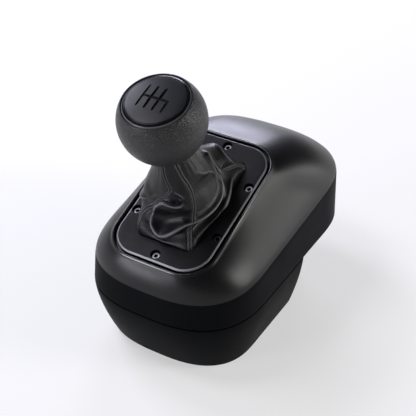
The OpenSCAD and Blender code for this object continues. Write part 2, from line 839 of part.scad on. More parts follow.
// The cable's socket in the rear wall of the base
module port_connector() {
    color("#3a3b3d") difference() {
        union() {
            port_opening(0);
            translate([-port_size.x / 2 - port_rim, base_rear_y, port_z - port_size.z / 2 - port_rim])
                cube([port_size.x + 2 * port_rim, port_rim_t, port_size.z + 2 * port_rim]);
        }
        translate([port_wall - port_size.x / 2, base_rear_y - port_size.y + port_wall,
                port_z - port_size.z / 2 + port_wall])
            cube([port_size.x - 2 * port_wall, 2 * port_size.y, port_size.z - 2 * port_wall]);
    }
}

module base_screws() {
    color("#8f9194") translate([0, 0, foot_h]) at_base_posts() rotate([180, 0, 0])
        screw(tap_d, base_plate_t + base_post_h - 3, screw_head_d, 1.4, 2.3);
}
module shell_screws() {
    color("#8f9194") {
        translate([0, 0, parting_z - lug_h]) at_boss(boss_front_y) rotate([180, 0, 0])
            screw(tap_d, lug_h + boss_h - 5, screw_head_d, head_h, 2.3);
        translate([0, 0, floor_z]) at_boss(boss_rear_y) rotate([180, 0, 0])
            screw(tap_d, floor_t + boss_h - 5, screw_head_d, head_h, 2.3);
    }
}

module rubber_feet() {
    foot_x = post_front_x - boss_r - foot_d / 2;
    color("#101011") for (x = [-1, 1], y = [post_front_y, post_rear_y]) translate([x * foot_x, y, 0]) {
        cylinder(d1 = foot_d - 1, d2 = foot_d, h = foot_h / 2);
        translate([0, 0, foot_h / 2]) cylinder(d = foot_d, h = foot_h / 2);
    }
}

module mount_inserts() {
    color("#b7a268") for (x = [-1, 1]) translate([x * mount_pitch / 2, plate_y, plate_under_z])
        tube(mount_bore + 2 * mount_insert_wall, mount_bore, mount_insert_l);
}

module table_pads() {
    grow = wall + clear + pad_in;
    outline = plan_ring(grow, grow, grow);
    color("#101011") translate([0, 0, floor_z - pad_t]) linear_extrude(pad_t) for (x = [-1, 1])
        intersection() {
            polygon(outline);
            translate([x * body_w / 2, body_l / 2 - pad_back])
                rounded(body_w - pad_split, pad_l, pad_r);
        }
}

// Cradle: it tilts sideways on the trunnions

module cradle() {
    color("#85898d") at_pivot() difference() {
        union() {
            translate([0, 0, -cradle_h / 2]) linear_extrude(cradle_h) difference() {
                square([2 * cradle_out_x, 2 * cradle_out_v], center = true);
                square([2 * cradle_x, 2 * cradle_v], center = true);
            }
            translate([0, -trunnion_front, 0]) along_v()
                cylinder(d = pivot_d, h = trunnion_front - cradle_out_v + over);
            translate([0, cradle_out_v - over, 0]) along_v()
                cylinder(d = pivot_d, h = box_v - cradle_out_v + over);
            both_sides() translate([cradle_out_x - tab_t, -tab_front, -tab_depth])
                cube([tab_t, tab_front + tab_rear, tab_depth]);
            translate([cradle_out_x - tab_t, -plunger_block.y / 2, -tab_depth])
                cube([plunger_block.x + tab_t, plunger_block.y, plunger_block.z]);
        }
        translate([-cradle_out_x - over, 0, 0]) along_x()
            cylinder(d = bush_d + 2 * seat_fit, h = 2 * (cradle_out_x + over));
        translate([cam_mid, 0, -tab_depth - over])
            cylinder(d = plunger_d + 2 * seat_fit, h = plunger_block.z + 2 * over);
    }
}
cam_mid = cradle_out_x + cam_gap + cam_t / 2;
module axle_bushes() {
    color("#b08d4a") at_pivot() for (x = [-cradle_out_x, cradle_x]) translate([x, 0, 0]) along_x()
        tube(bush_d, pivot_d + 2 * run_fit, cradle_wall);
}
module shift_sensor() {
    color("#2f5f8f") at_pivot() translate([-cradle_out_x - sensor_t, 0, 0]) difference() {
        translate([0, -sensor_w / 2, -cradle_h / 2]) cube([sensor_t, sensor_w, cradle_h]);
        translate([-over, 0, 0]) along_x() cylinder(d = pivot_d + 2 * clear, h = sensor_t + 2 * over);
    }
}
module ball_plunger() {
    tip = -cam_d / 2 - clear;
    color("#a7a9ab") at_pivot() translate([cam_mid, 0, 0]) {
        translate([0, 0, -tab_depth]) cylinder(d = plunger_d, h = tab_depth + tip - ball_r);
        translate([0, 0, tip - ball_r]) sphere(ball_r);
    }
}

// Yoke: it tilts fore and aft on the axle pins and guides the lever

module yoke() {
    color("#75797d") at_pivot() difference() {
        translate([-yoke_x, -yoke_v, yoke_bottom])
            cube([2 * yoke_x, 2 * yoke_v, yoke_top - yoke_bottom]);
        translate([0, 0, yoke_bottom - over])
            cylinder(d = shaft_d + 2 * run_fit, h = yoke_top - yoke_bottom + 2 * over);
        for (x = [axle_inner, -yoke_x - over]) translate([x, 0, 0]) along_x()
            cylinder(d = pivot_d + 2 * seat_fit, h = yoke_x + over - axle_inner);
    }
}
module axle_pins() {
    left_end = cradle_out_x + sensor_t - 1;
    right_end = cradle_out_x + cam_gap + cam_t + 1;
    color("#b9bbbd") at_pivot() {
        translate([-left_end, 0, 0]) along_x() cylinder(d = pivot_d, h = left_end - axle_inner);
        translate([axle_inner, 0, 0]) along_x() cylinder(d = pivot_d, h = right_end - axle_inner);
    }
}
module detent_cam() {
    notch_r = 1.5;
    color("#9a9da0") at_pivot() translate([cradle_out_x + cam_gap, 0, 0]) along_x() difference() {
        tube(cam_d, pivot_d + 2 * seat_fit, cam_t);
        for (a = [-shift_angle, 0, shift_angle]) rotate(a) translate([cam_d / 2 + notch_r / 4, 0, -over])
            cylinder(r = notch_r, h = cam_t + 2 * over);
    }
}
module return_spring() {
    color("#c8cacc") at_pivot() translate([0, 0, yoke_top]) coil(return_r, return_wire, 5, return_l);
}
module reverse_switch() {
    color("#222325") at_pivot() translate([0, -yoke_v - switch_size.y / 2, switch_drop]) {
        translate([-switch_size.x / 2, -switch_size.y / 2, 0]) cube(switch_size);
        translate([0, 0, switch_size.z]) cylinder(d = 3, h = button_h);
    }
}

// Lever: it slides in the yoke and carries the knob

module lever_shaft() {
    color("#c4c6c8") at_pivot() difference() {
        translate([0, 0, shaft_bottom]) cylinder(d = shaft_d, h = shaft_top - shaft_bottom);
        translate([0, 0, shaft_bottom - over])
            cylinder(d = gate_pin_d + 2 * seat_fit, h = pin_socket + over);
    }
}
module gate_pin() {
    color("#b9bbbd") at_pivot() {
        translate([0, 0, pin_tip + gate_pin_d / 2])
            cylinder(d = gate_pin_d, h = shaft_bottom + pin_socket - pin_tip - gate_pin_d / 2);
        translate([0, 0, pin_tip + gate_pin_d / 2]) sphere(d = gate_pin_d);
    }
}
module spring_collar() {
    finger_w = 6;
    finger_t = 2.4;
    finger_low = switch_drop + switch_size.z + button_h + press_travel + clear;
    collar_low = yoke_top + return_l;
    color("#86898c") at_pivot() difference() {
        union() {
            translate([0, 0, collar_low]) cylinder(d = collar_d, h = collar_t);
            translate([-finger_w / 2, -yoke_v - switch_size.y / 2 - finger_t / 2, finger_low])
                cube([finger_w, finger_t, collar_low + collar_t - finger_low]);
            translate([-finger_w / 2, -yoke_v - switch_size.y / 2, collar_low])
                cube([finger_w, yoke_v, collar_t]);
        }
        translate([0, 0, collar_low - over])
            cylinder(d = shaft_d + 2 * seat_fit, h = collar_t + 2 * over);
    }
}
module stop_ring() {
    ring_t = 3;
    color("#86898c") at_pivot() translate([0, 0, yoke_bottom - clear - ring_t])
        tube(shaft_d + 8, shaft_d + 2 * seat_fit, ring_t);
}
module boot_collar() {
    color("#1b1b1d") at_plate() translate([0, lever_v, boot_top - collar_h])
        tube(2 * (boot_top_r - leather_t - 2 * clear), shaft_d + 2 * seat_fit, collar_h);
}

module at_knob() {
    at_plate() translate([0, lever_v, knob_h]) children();
}
module knob_body() {
    color("#1a1a1c") at_knob() difference() {
        sphere(d = knob_d);
        translate([0, 0, -knob_d - knob_flat]) cylinder(d = knob_d, h = knob_d);
        translate([0, 0, -knob_d]) cylinder(d = insert_d + 2 * seat_fit, h = knob_d + insert_top);
        translate([0, 0, insert_top]) cylinder(r = nut_room, h = knob_d);
        translate([0, 0, cap_seat]) cylinder(d = trim_d + 2 * seat_fit, h = knob_d);
    }
}
module knob_insert() {
    color("#b7a268") at_knob() translate([0, 0, -knob_flat])
        tube(insert_d, shaft_d + 2 * seat_fit, knob_flat + insert_top);
}
module knob_nut() {
    color("#9fa1a3") at_knob() translate([0, 0, insert_top]) difference() {
        cylinder(d = nut_af / cos(30), h = nut_t, $fn = 6);
        translate([0, 0, -over]) cylinder(d = shaft_d + 2 * seat_fit, h = nut_t + 2 * over);
    }
}
module knob_ring() {
    in_r = cap_d / 2 + 0.1;
    out_r = trim_d / 2;
    edge = sqrt(knob_d * knob_d / 4 - out_r * out_r);
    color("#0e0e0f") at_knob() rotate_extrude() polygon([
        [in_r, cap_seat],
        [out_r, cap_seat],
        [out_r, edge],
        [lerp(out_r, in_r, 0.3), edge + 0.35],
        [lerp(out_r, in_r, 0.7), edge + 0.2],
        [in_r, cap_edge_h + 0.2]
    ]);
}

// Domed cap with an engraved gate diagram: three full strokes and a half stroke
module diagram() {
    for (k = [-1.5, -0.5, 0.5]) translate([k * column_pitch, 0]) slot(line_w, 2 * stroke_l - line_w);
    translate([1.5 * column_pitch, -stroke_l / 2 + line_w / 4]) slot(line_w, stroke_l - line_w / 2);
    rotate(90) slot(line_w, 3 * column_pitch);
}
module knob_cap() {
    cap_r = cap_d / 2;
    crown_steps = 8;
    profile = concat(
        [[0, cap_seat], [cap_r, cap_seat]],
        [for (k = [crown_steps:-1:0])
            let (t = k / crown_steps)
            [cap_r * t, cap_edge_h + cap_crown * (1 - t * t)]]
    );
    color("#2a2b2d") at_knob() difference() {
        rotate_extrude() polygon(profile);
        translate([0, 0, cap_edge_h + cap_crown - line_depth]) linear_extrude(cap_t) diagram();
    }
}

// Table clamps: a captive screw with a thumb wheel lifts each jaw

module clamp_screw(side) {
    color("#2a2b2d") at_clamps(side) {
        translate([0, 0, thumb_z]) difference() {
            cylinder(d = thumb_d, h = thumb_t);
            for (k = [1:thumb_grips]) rotate(360 * k / thumb_grips)
                translate([thumb_d / 2 + 0.6, 0, -over]) cylinder(d = 3, h = thumb_t + 2 * over);
        }
        translate([0, 0, thumb_z]) cylinder(d = clamp_d, h = floor_top + clear + 2 * clip_t - thumb_z);
        translate([0, 0, floor_z - clear - shoulder_t]) cylinder(d = shoulder_d, h = shoulder_t);
    }
}
module clamp_clip(side) {
    color("#9fa1a3") at_clamps(side) translate([0, 0, floor_top + clear])
        tube(shoulder_d, clamp_d + 2 * seat_fit, clip_t);
}
module clamp_jaw(side) {
    front = base_rear_y + jaw_gap;
    color("#1d1e20") at_clamps(side) difference() {
        union() {
            translate([0, front - clamp_y, jaw_z]) translate([-jaw_w / 2, 0, 0])
                cube([jaw_w, jaw_l, jaw_t]);
            translate([0, 0, jaw_z]) cylinder(d = jaw_boss_d, h = jaw_boss_h);
        }
        translate([0, 0, jaw_z - over])
            cylinder(d = clamp_d + 2 * run_fit, h = jaw_boss_h + 2 * over);
    }
}
module jaw_pad(side) {
    pad_front = clamp_y + jaw_boss_d / 2 + 2;
    pad_rear = base_rear_y + jaw_gap + jaw_l - 2;
    color("#101011") translate([side * clamp_x, (pad_front + pad_rear) / 2, jaw_z + jaw_t])
        linear_extrude(pad_t) rounded(jaw_w - 4, pad_rear - pad_front, 2);
}

upper_shell();
lower_base();
base_plate();
overhang_floor();
top_plate();
plate_screws();
boot_frame();
boot();
mechanism_frame();
trunnion_bushes();
gate_plate();
gate_screws();
select_sensor();
centring_springs();
control_board();
board_screws();
port_connector();
base_screws();
shell_screws();
rubber_feet();
mount_inserts();
table_pads();
cradle();
axle_bushes();
shift_sensor();
ball_plunger();
yoke();
axle_pins();
detent_cam();
return_spring();
reverse_switch();
lever_shaft();
gate_pin();
spring_collar();
stop_ring();
boot_collar();
knob_body();
knob_insert();
knob_nut();
knob_ring();
knob_cap();
clamp_screw(-1);  // clamp_screw_left
clamp_screw(1);  // clamp_screw_right
clamp_clip(-1);  // clamp_clip_left
clamp_clip(1);  // clamp_clip_right
clamp_jaw(-1);  // clamp_jaw_left
clamp_jaw(1);  // clamp_jaw_right
jaw_pad(-1);  // jaw_pad_left
jaw_pad(1);  // jaw_pad_right
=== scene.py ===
import json
import logging
import math
from dataclasses import dataclass
from enum import Enum
from typing import Callable, Sequence

import bpy
import numpy as np
from mathutils import Matrix, Vector, kdtree


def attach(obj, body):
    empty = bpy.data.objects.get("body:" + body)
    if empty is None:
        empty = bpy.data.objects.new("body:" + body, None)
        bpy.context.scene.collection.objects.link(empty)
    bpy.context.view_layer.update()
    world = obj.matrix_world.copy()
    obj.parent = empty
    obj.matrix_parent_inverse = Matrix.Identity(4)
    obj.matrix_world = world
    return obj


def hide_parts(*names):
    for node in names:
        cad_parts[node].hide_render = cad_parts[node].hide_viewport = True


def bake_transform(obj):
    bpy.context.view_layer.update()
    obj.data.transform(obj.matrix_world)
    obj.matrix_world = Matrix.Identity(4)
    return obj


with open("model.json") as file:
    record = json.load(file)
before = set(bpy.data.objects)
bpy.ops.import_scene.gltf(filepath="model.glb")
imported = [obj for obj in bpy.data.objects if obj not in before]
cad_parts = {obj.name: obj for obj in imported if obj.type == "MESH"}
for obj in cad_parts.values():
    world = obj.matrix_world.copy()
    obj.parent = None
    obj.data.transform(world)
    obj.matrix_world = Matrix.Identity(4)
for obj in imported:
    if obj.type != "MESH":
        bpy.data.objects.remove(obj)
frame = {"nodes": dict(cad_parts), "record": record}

LOG = logging.getLogger("gear_shifter")
MM = 0.001
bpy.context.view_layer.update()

Piece = bpy.types.Object
Tree = bpy.types.NodeTree
Socket = bpy.types.NodeSocket
Place = tuple[float, float]
Spot = tuple[float, float, float]
Corner = Callable[[float, float, float], Place]

# The plate's frame: x to the right, v up the slope, w out of the plate, from the plate's middle.
PLATE_TILT = math.radians(20.0)
PLATE_Y = -34.3
PLATE_Z = 96.6
PLATE_AXIS = (0.0, -math.sin(PLATE_TILT), math.cos(PLATE_TILT))
PLATE_SIZE = (66.0, 101.4, 17.0)  # width, length and corner radius
SLOPE_BEND = 20.0  # where the bends of an outline on the slope start
LEVER_V = -5.0  # where the lever crosses the plate


def plate_matrix(x: float, v: float, w: float) -> Matrix:
    """Gives the frame that stands on the plate at a point.

    Args:
        x: Millimetres to the right of the plate's middle.
        v: Millimetres up the slope.
        w: Millimetres out of the plate.

    Returns:
        A matrix whose z axis leaves the plate, in metres.
    """
    turn = Matrix.Rotation(PLATE_TILT, 4, "X")
    spot = Vector((0.0, PLATE_Y, PLATE_Z)) + turn.to_3x3() @ Vector((x, v, w))
    return Matrix.Translation(spot * MM) @ turn


def on_plate(points: np.ndarray, w: float | np.ndarray) -> np.ndarray:
    """Lifts flat points from the plate's own plane into the part's frame.

    Args:
        points: Rows of x and v in millimetres.
        w: Height above the plate, one for all or one for each.

    Returns:
        Rows of x, y and z in millimetres.
    """
    x, v = points[..., 0], points[..., 1]
    w = np.broadcast_to(w, x.shape)
    c, s = math.cos(PLATE_TILT), math.sin(PLATE_TILT)
    return np.stack([x, PLATE_Y + v * c - w * s, PLATE_Z + v * s + w * c], axis=-1)


def super_corner(power: float) -> Corner:
    """Gives a corner that bends as a super ellipse of that power."""
    def corner(a: float, l: float, degrees: float) -> Place:
        """Gives the point of a quarter outline at an angle."""
        c = max(0.0, math.cos(math.radians(degrees)))
        s = max(0.0, math.sin(math.radians(degrees)))
        q = (c ** power + s ** power) ** (-1.0 / power)
        return a * c * q, l * s * q
    return corner


def round_corner(radius: float) -> Corner:
    """Gives a quarter of a rectangle whose corner has that radius."""
    def corner(a: float, l: float, degrees: float) -> Place:
        """Gives the point of a quarter outline at an angle."""
        mx, my = a - radius, l - radius
        if degrees >= 89.999:
            return 0.0, l
        tangent = math.tan(math.radians(degrees))
        if l * tangent <= my:
            return a, l * tangent
        if a <= mx * tangent:
            return a / tangent, l
        c, s = a * math.cos(math.radians(degrees)), l * math.sin(math.radians(degrees))
        dd, dm = c * c + s * s, c * mx + s * my
        q = (dm + math.sqrt(max(0.0, dm * dm - dd * (mx * mx + my * my - radius * radius)))) / dd
        return c * q, s * q
    return corner


def outline(half_w: float, front: float, rear: float, front_len: float, rear_len: float,
            front_corner: Corner, rear_corner: Corner, steps: int = 40, straight: int = 20) -> np.ndarray:
    """Draws a closed outline, symmetric about the part's middle plane.

    Args:
        half_w: Half the width.
        front: Where the front bend starts, on the y axis.
        rear: Where the rear bend starts.
        front_len: Reach of the front bend.
        rear_len: Reach of the rear bend.
        front_corner: How the front bends.
        rear_corner: How the rear bends.
        steps: Points on each bend.
        straight: Parts of the straight side.

    Returns:
        Rows of x and y, anticlockwise from the front's middle.
    """
    right: list[Place] = []
    for i in range(steps + 1):
        x, y = front_corner(half_w, front_len, 90.0 * (1.0 - i / steps))
        right.append((x, front - y))
    for i in range(1, straight):
        right.append((half_w, front + (rear - front) * i / straight))
    for i in range(steps + 1):
        x, y = rear_corner(half_w, rear_len, 90.0 * i / steps)
        right.append((x, rear + y))
    left = [(-x, y) for x, y in right[-2:0:-1]]
    return np.array(right + left)


def slope_outline(width: float, length: float, radius: float) -> np.ndarray:
    """Gives a rounded rectangle in the plate's own plane."""
    bend, reach = round_corner(radius), length / 2 - SLOPE_BEND
    return outline(width / 2, -SLOPE_BEND, SLOPE_BEND, reach, reach, bend, bend)


def plate_outline(grow: float) -> np.ndarray:
    """Gives the plate's outline in its own plane, grown by an offset."""
    width, length, radius = PLATE_SIZE
    return slope_outline(width + 2 * grow, length + 2 * grow, radius + grow)


def at_height(points: np.ndarray, z: float | np.ndarray) -> np.ndarray:
    """Puts flat points at a height of the part's frame."""
    return np.column_stack([points, np.broadcast_to(z, len(points))])


def soft_corner(before: np.ndarray, corner: np.ndarray, after: np.ndarray, steps: int) -> list[np.ndarray]:
    """Bends rings round a corner ring as a fillet does.

    Args:
        before: The ring where the bend starts.
        corner: The sharp corner that it replaces.
        after: The ring where the bend ends.
        steps: How many parts the bend has.

    Returns:
        The rings of the bend, both ends with it.
    """
    shares = [i / steps for i in range(steps + 1)]
    return [before * (1 - t) ** 2 + corner * 2 * t * (1 - t) + after * t * t for t in shares]


def eased(t: np.ndarray) -> np.ndarray:
    """Turns a share that grows evenly into one that starts and ends gently."""
    return t * t * (3 - 2 * t)


def bell(far: np.ndarray, reach: float) -> np.ndarray:
    """Fades from 1 at no distance to nearly 0 at twice the reach."""
    return np.exp(-(far / reach) ** 2)


def tree_of(points: Sequence[Sequence[float]]) -> kdtree.KDTree:
    """Sorts points into a tree that finds the nearest one.

    Args:
        points: The points; each is found again by its place in the list.

    Returns:
        The tree.
    """
    tree = kdtree.KDTree(len(points))
    for k, point in enumerate(points):
        tree.insert(point, k)
    tree.balance()
    return tree


def deselect() -> None:
    """Leaves edit mode and deselects everything, the frame's nodes with it."""
    if bpy.context.mode != "OBJECT":
        bpy.ops.object.mode_set(mode="OBJECT")
    bpy.ops.object.select_all(action="DESELECT")


def pick(obj: Piece) -> None:
    """Makes one object the only selected and the active one."""
    deselect()
    obj.select_set(True)
    bpy.context.view_layer.objects.active = obj


def started(name: str) -> Piece:
    """Names the primitive that was just added.

    Args:
        name: The piece's name.

    Returns:
        The new object.
    """
    obj = bpy.context.object
    obj.name = name
    obj.data.name = name
    return obj


def edit(obj: Piece, mode: str = "FACE") -> None:
    """Opens a piece in edit mode with nothing selected."""
    pick(obj)
    bpy.ops.object.mode_set(mode="EDIT")
    bpy.ops.mesh.select_mode(type=mode)
    bpy.ops.mesh.select_all(action="DESELECT")


def select(obj: Piece, kind: str, wanted: Callable[[bpy.types.bpy_struct], bool]) -> None:
    """Selects parts of a piece in edit mode by a test of their place or normal.

    Args:
        obj: The piece.
        kind: The mesh's list of them: vertices, edges or polygons.
        wanted: The test.
    """
    bpy.ops.object.mode_set(mode="OBJECT")
    for part in getattr(obj.data, kind):
        part.select = wanted(part)
    bpy.ops.object.mode_set(mode="EDIT")


def weld(obj: Piece) -> None:
    """Merges a piece's double points and turns its faces outwards."""
    edit(obj, "VERT")
    bpy.ops.mesh.select_all(action="SELECT")
    bpy.ops.mesh.remove_doubles(threshold=2e-6)
    bpy.ops.mesh.normals_make_consistent(inside=False)
    deselect()


def modify(obj: Piece, kind: str, **settings: object) -> None:
    """Adds a modifier with its settings and applies it.

    Args:
        obj: The piece.
        kind: The modifier's type.
        settings: The modifier's own settings.
    """
    pick(obj)
    modifier = obj.modifiers.new(kind.title(), kind)
    for key, value in settings.items():
        setattr(modifier, key, value)
    bpy.ops.object.modifier_apply(modifier=modifier.name)


def cut(obj: Piece, cutter: Piece) -> None:
    """Cuts one piece with another and removes the cutter."""
    modify(obj, "BOOLEAN", operation="DIFFERENCE", solver="EXACT", object=cutter, use_self=True)
    bpy.data.objects.remove(cutter, do_unlink=True)


def smooth(obj: Piece, degrees: float) -> None:
    """Shades a piece smooth but for edges sharper than an angle."""
    pick(obj)
    bpy.ops.object.shade_smooth_by_angle(angle=math.radians(degrees))
    deselect()


def put(obj: Piece, place: Matrix) -> None:
    """Moves a piece's mesh to its place and leaves the object at the origin."""
    pick(obj)
    obj.matrix_world = place @ obj.matrix_world
    bpy.ops.object.transform_apply(location=True, rotation=True, scale=True)
    deselect()


def join(pieces: Sequence[Piece]) -> Piece:
    """Joins pieces into the first of them.

    Args:
        pieces: The pieces, the one that stays first.

    Returns:
        The joined piece.
    """
    pick(pieces[0])
    for piece in pieces[1:]:
        piece.select_set(True)
    bpy.ops.object.join()
    return pieces[0]


def twin_of(obj: Piece) -> Piece:
    """Copies a piece where it stands, with its own mesh.

    Args:
        obj: The piece.

    Returns:
        The copy.
    """
    twin = obj.copy()
    twin.data = obj.data.copy()
    bpy.context.scene.collection.objects.link(twin)
    return twin


def copy_of(obj: Piece, place: Matrix) -> Piece:
    """Copies a piece with its own mesh to another place."""
    twin = twin_of(obj)
    put(twin, place)
    return twin


def loft(name: str, rings: Sequence[np.ndarray], loop: bool = False) -> Piece:
    """Wraps a grid round a stack of rings and welds it.

    Args:
        name: The piece's name.
        rings: Rings of the same number of points, in millimetres.
        loop: True where the last ring meets the first.

    Returns:
        The new piece.
    """
    around, rows = len(rings[0]), len(rings) - (0 if loop else 1)
    deselect()
    bpy.ops.mesh.primitive_grid_add(x_subdivisions=around, y_subdivisions=rows, size=1.0)
    obj = started(name)
    flat = np.empty(len(obj.data.vertices) * 3)
    obj.data.vertices.foreach_get("co", flat)
    flat = flat.reshape(-1, 3)
    columns = np.rint((flat[:, 0] + 0.5) * around).astype(int) % around
    rows_at = np.rint((flat[:, 1] + 0.5) * rows).astype(int) % len(rings)
    placed = np.asarray(rings)[rows_at, columns] * MM
    obj.data.vertices.foreach_set("co", placed.ravel())
    obj.data.update()
    weld(obj)
    return obj


def box(low: Sequence[float], high: Sequence[float]) -> Piece:
    """Adds a block between two corners in millimetres, for cutting."""
    deselect()
    middle = [(a + b) / 2 * MM for a, b in zip(low, high)]
    size = [(b - a) * MM for a, b in zip(low, high)]
    bpy.ops.mesh.primitive_cube_add(size=1.0, location=middle, scale=size)
    obj = started("cutter")
    put(obj, Matrix.Identity(4))
    return obj


def rod(sides: int, radius: float, half: float) -> Piece:
    """Adds an upright bar about the origin, with its half height in millimetres, for cutting."""
    deselect()
    bpy.ops.mesh.primitive_cylinder_add(vertices=sides, radius=radius * MM, depth=2 * half * MM)
    return started("cutter")


def turned(name: str, profile: Sequence[Place], steps: int, closed: bool = True) -> Piece:
    """Spins a profile of radius and height about the z axis.

    Args:
        name: The piece's name.
        profile: Points in millimetres, in order round the section.
        steps: How many parts the turn has.
        closed: True where the last point meets the first; otherwise both ends lie on the axis.

    Returns:
        The new piece, standing on the origin.
    """
    deselect()
    bpy.ops.mesh.primitive_circle_add(vertices=len(profile), radius=0.01, fill_type="NOTHING")
    obj = started(name)
    for vertex, (r, h) in zip(obj.data.vertices, profile):
        vertex.co = (r * MM, 0.0, h * MM)
    edit(obj, "EDGE")
    if not closed:
        select(obj, "edges", lambda edge: set(edge.vertices) == {0, len(profile) - 1})
        bpy.ops.mesh.delete(type="EDGE_FACE")
    bpy.ops.mesh.select_all(action="SELECT")
    bpy.ops.mesh.spin(steps=steps, angle=2 * math.pi, center=(0, 0, 0), axis=(0, 0, 1))
    weld(obj)
    return obj


def linear(hex_colour: str) -> tuple[float, float, float, float]:
    """Turns an sRGB hex colour into linear light.

    Args:
        hex_colour: Six hex digits after a hash.

    Returns:
        Red, green, blue and alpha.
    """
    parts = [int(hex_colour[i:i + 2], 16) / 255 for i in (1, 3, 5)]
    light = [p / 12.92 if p <= 0.04045 else ((p + 0.055) / 1.055) ** 2.4 for p in parts]
    return light[0], light[1], light[2], 1.0


def add_node(tree: Tree, kind: str, links: dict | None = None,
             **settings: object) -> bpy.types.Node:
    """Adds one shader node with its settings and links.

    Args:
        tree: The material's node tree.
        kind: The node's type.
        links: A value or an output socket for each named input.
        settings: The node's own settings.

    Returns:
        The new node.
    """
    node = tree.nodes.new(kind)
    for key, value in settings.items():
        setattr(node, key, value)
    for key, value in (links or {}).items():
        if isinstance(value, Socket):
            tree.links.new(value, node.inputs[key])
        else:
            node.inputs[key].default_value = value
    return node


def maths(tree: Tree, operation: str, *values: float | Socket) -> Socket:
    """Adds one step of arithmetic.

    Args:
        tree: The node tree.
        operation: What the step does.
        values: What it works on, in order.

    Returns:
        The result.
    """
    return add_node(tree, "ShaderNodeMath", dict(enumerate(values)), operation=operation).outputs[0]


def fresh_tree(owner: bpy.types.Material | bpy.types.World) -> Tree:
    """Gives a material or a world an empty node tree.

    Args:
        owner: The material or world.

    Returns:
        Its tree.
    """
    owner.use_nodes = True
    owner.node_tree.nodes.clear()
    return owner.node_tree


class Grain(Enum):
    """How a surface was made, which gives its relief."""

    SPARK = "spark-eroded mould"
    HIDE = "pebbled hide"
    BRUSHED = "brushed along one axis"
    CAST = "cast skin"
    PEEL = "sprayed powder"
    TWIST = "twisted thread"


@dataclass(frozen=True)
class Finish:
    """One material and the surface it was given; a few stand for painted shade or a painted highlight."""

    name: str
    colour: str
    tint: str
    roughness: float
    grain: Grain
    grain_mm: float
    relief_mm: float
    patch_mm: float = 18.0
    metallic: float = 0.0
    ior: float = 1.5
    swing: float = 0.08
    specular: float = 0.5
    # Colour of a painted highlight, laid where the mesh marks it.
    highlight_paint: str = ""

    def relief(self, tree: Tree, spot: Socket) -> Socket:
        """Draws the relief of the grain.

        Args:
            tree: The material's nodes.
            spot: Object coordinates in metres.

        Returns:
            A height from 0 to 1.
        """
        fine = 1.0 / (self.grain_mm * MM)
        if self.grain is Grain.HIDE:
            bent = add_node(tree, "ShaderNodeTexNoise", {"Vector": spot, "Scale": fine * 0.7, "Detail": 2.0})
            mixed = add_node(tree, "ShaderNodeMix", {"Factor": 0.0006, "A": spot, "B": bent.outputs["Color"]},
                             data_type="VECTOR")
            cells = add_node(tree, "ShaderNodeTexVoronoi", {"Vector": mixed.outputs["Result"], "Scale": fine},
                             feature="DISTANCE_TO_EDGE")
            dome = add_node(tree, "ShaderNodeMapRange",
                            {"Value": cells.outputs["Distance"], "From Max": 0.28},
                            interpolation_type="SMOOTHSTEP")
            pores = add_node(tree, "ShaderNodeTexNoise", {"Vector": spot, "Scale": fine * 2.6, "Detail": 2.0})
            return maths(tree, "MULTIPLY_ADD", pores.outputs["Fac"], 0.35, dome.outputs["Result"])
        if self.grain is Grain.BRUSHED:
            drawn = add_node(tree, "ShaderNodeMapping", {"Vector": spot, "Scale": (fine, fine, fine * 0.03)})
            lines = add_node(tree, "ShaderNodeTexNoise", {"Vector": drawn.outputs["Vector"], "Scale": 1.0,
                                                          "Detail": 3.0})
            return lines.outputs["Fac"]
        if self.grain is Grain.TWIST:
            lay = add_node(tree, "ShaderNodeTexWave", {"Vector": spot, "Scale": fine, "Distortion": 1.0},
                           bands_direction="DIAGONAL")
            return lay.outputs["Fac"]
        if self.grain is Grain.PEEL:
            beads = add_node(tree, "ShaderNodeTexVoronoi", {"Vector": spot, "Scale": fine},
                             feature="SMOOTH_F1")
            return beads.outputs["Distance"]
        depth = 6.0 if self.grain is Grain.CAST else 3.0
        pits = add_node(tree, "ShaderNodeTexNoise", {"Vector": spot, "Scale": fine, "Detail": depth,
                                                     "Roughness": 0.6})
        return pits.outputs["Fac"]

    def material(self) -> bpy.types.Material:
        """Builds the material, or gives the one already built.

        Returns:
            The material.
        """
        made = bpy.data.materials.get(self.name)
        if made:
            return made
        made = bpy.data.materials.new(self.name)
        tree = fresh_tree(made)
        spot = add_node(tree, "ShaderNodeTexCoord").outputs["Object"]
        patches = add_node(tree, "ShaderNodeTexNoise", {"Vector": spot, "Scale": 1.0 / (self.patch_mm * MM),
                                                        "Detail": 4.0})
        height = self.relief(tree, spot)
        shade = add_node(tree, "ShaderNodeMix", {0: patches.outputs["Fac"], 6: linear(self.colour),
                                                 7: linear(self.tint)}, data_type="RGBA")
        rough = add_node(tree, "ShaderNodeMapRange", {"Value": patches.outputs["Fac"], "From Min": 0.3,
                                                      "From Max": 0.7, "To Min": self.roughness - self.swing,
                                                      "To Max": self.roughness + self.swing})
        colour_out, rough_out = shade.outputs[2], rough.outputs["Result"]
        # A painted highlight: lighter colour and lower roughness where the mesh marks it.
        if self.highlight_paint:
            painted_highlight = add_node(tree, "ShaderNodeAttribute", attribute_name="painted_highlight").outputs["Fac"]
            highlighted = add_node(tree, "ShaderNodeMix", {0: painted_highlight, 6: colour_out, 7: linear(self.highlight_paint)},
                            data_type="RGBA")
            slick = add_node(tree, "ShaderNodeMix", {0: painted_highlight, 2: rough_out, 3: self.roughness * 0.9},
                             data_type="FLOAT")
            colour_out, rough_out = highlighted.outputs[2], slick.outputs[0]
        bump = add_node(tree, "ShaderNodeBump", {"Height": height, "Strength": 1.0,
                                                 "Distance": self.relief_mm * MM})
        skin = add_node(tree, "ShaderNodeBsdfPrincipled", {
            "Base Color": colour_out, "Roughness": rough_out, "Normal": bump.outputs["Normal"],
            "Metallic": self.metallic, "IOR": self.ior, "Specular IOR Level": self.specular})
        add_node(tree, "ShaderNodeOutputMaterial", {"Surface": skin.outputs["BSDF"]})
        return made


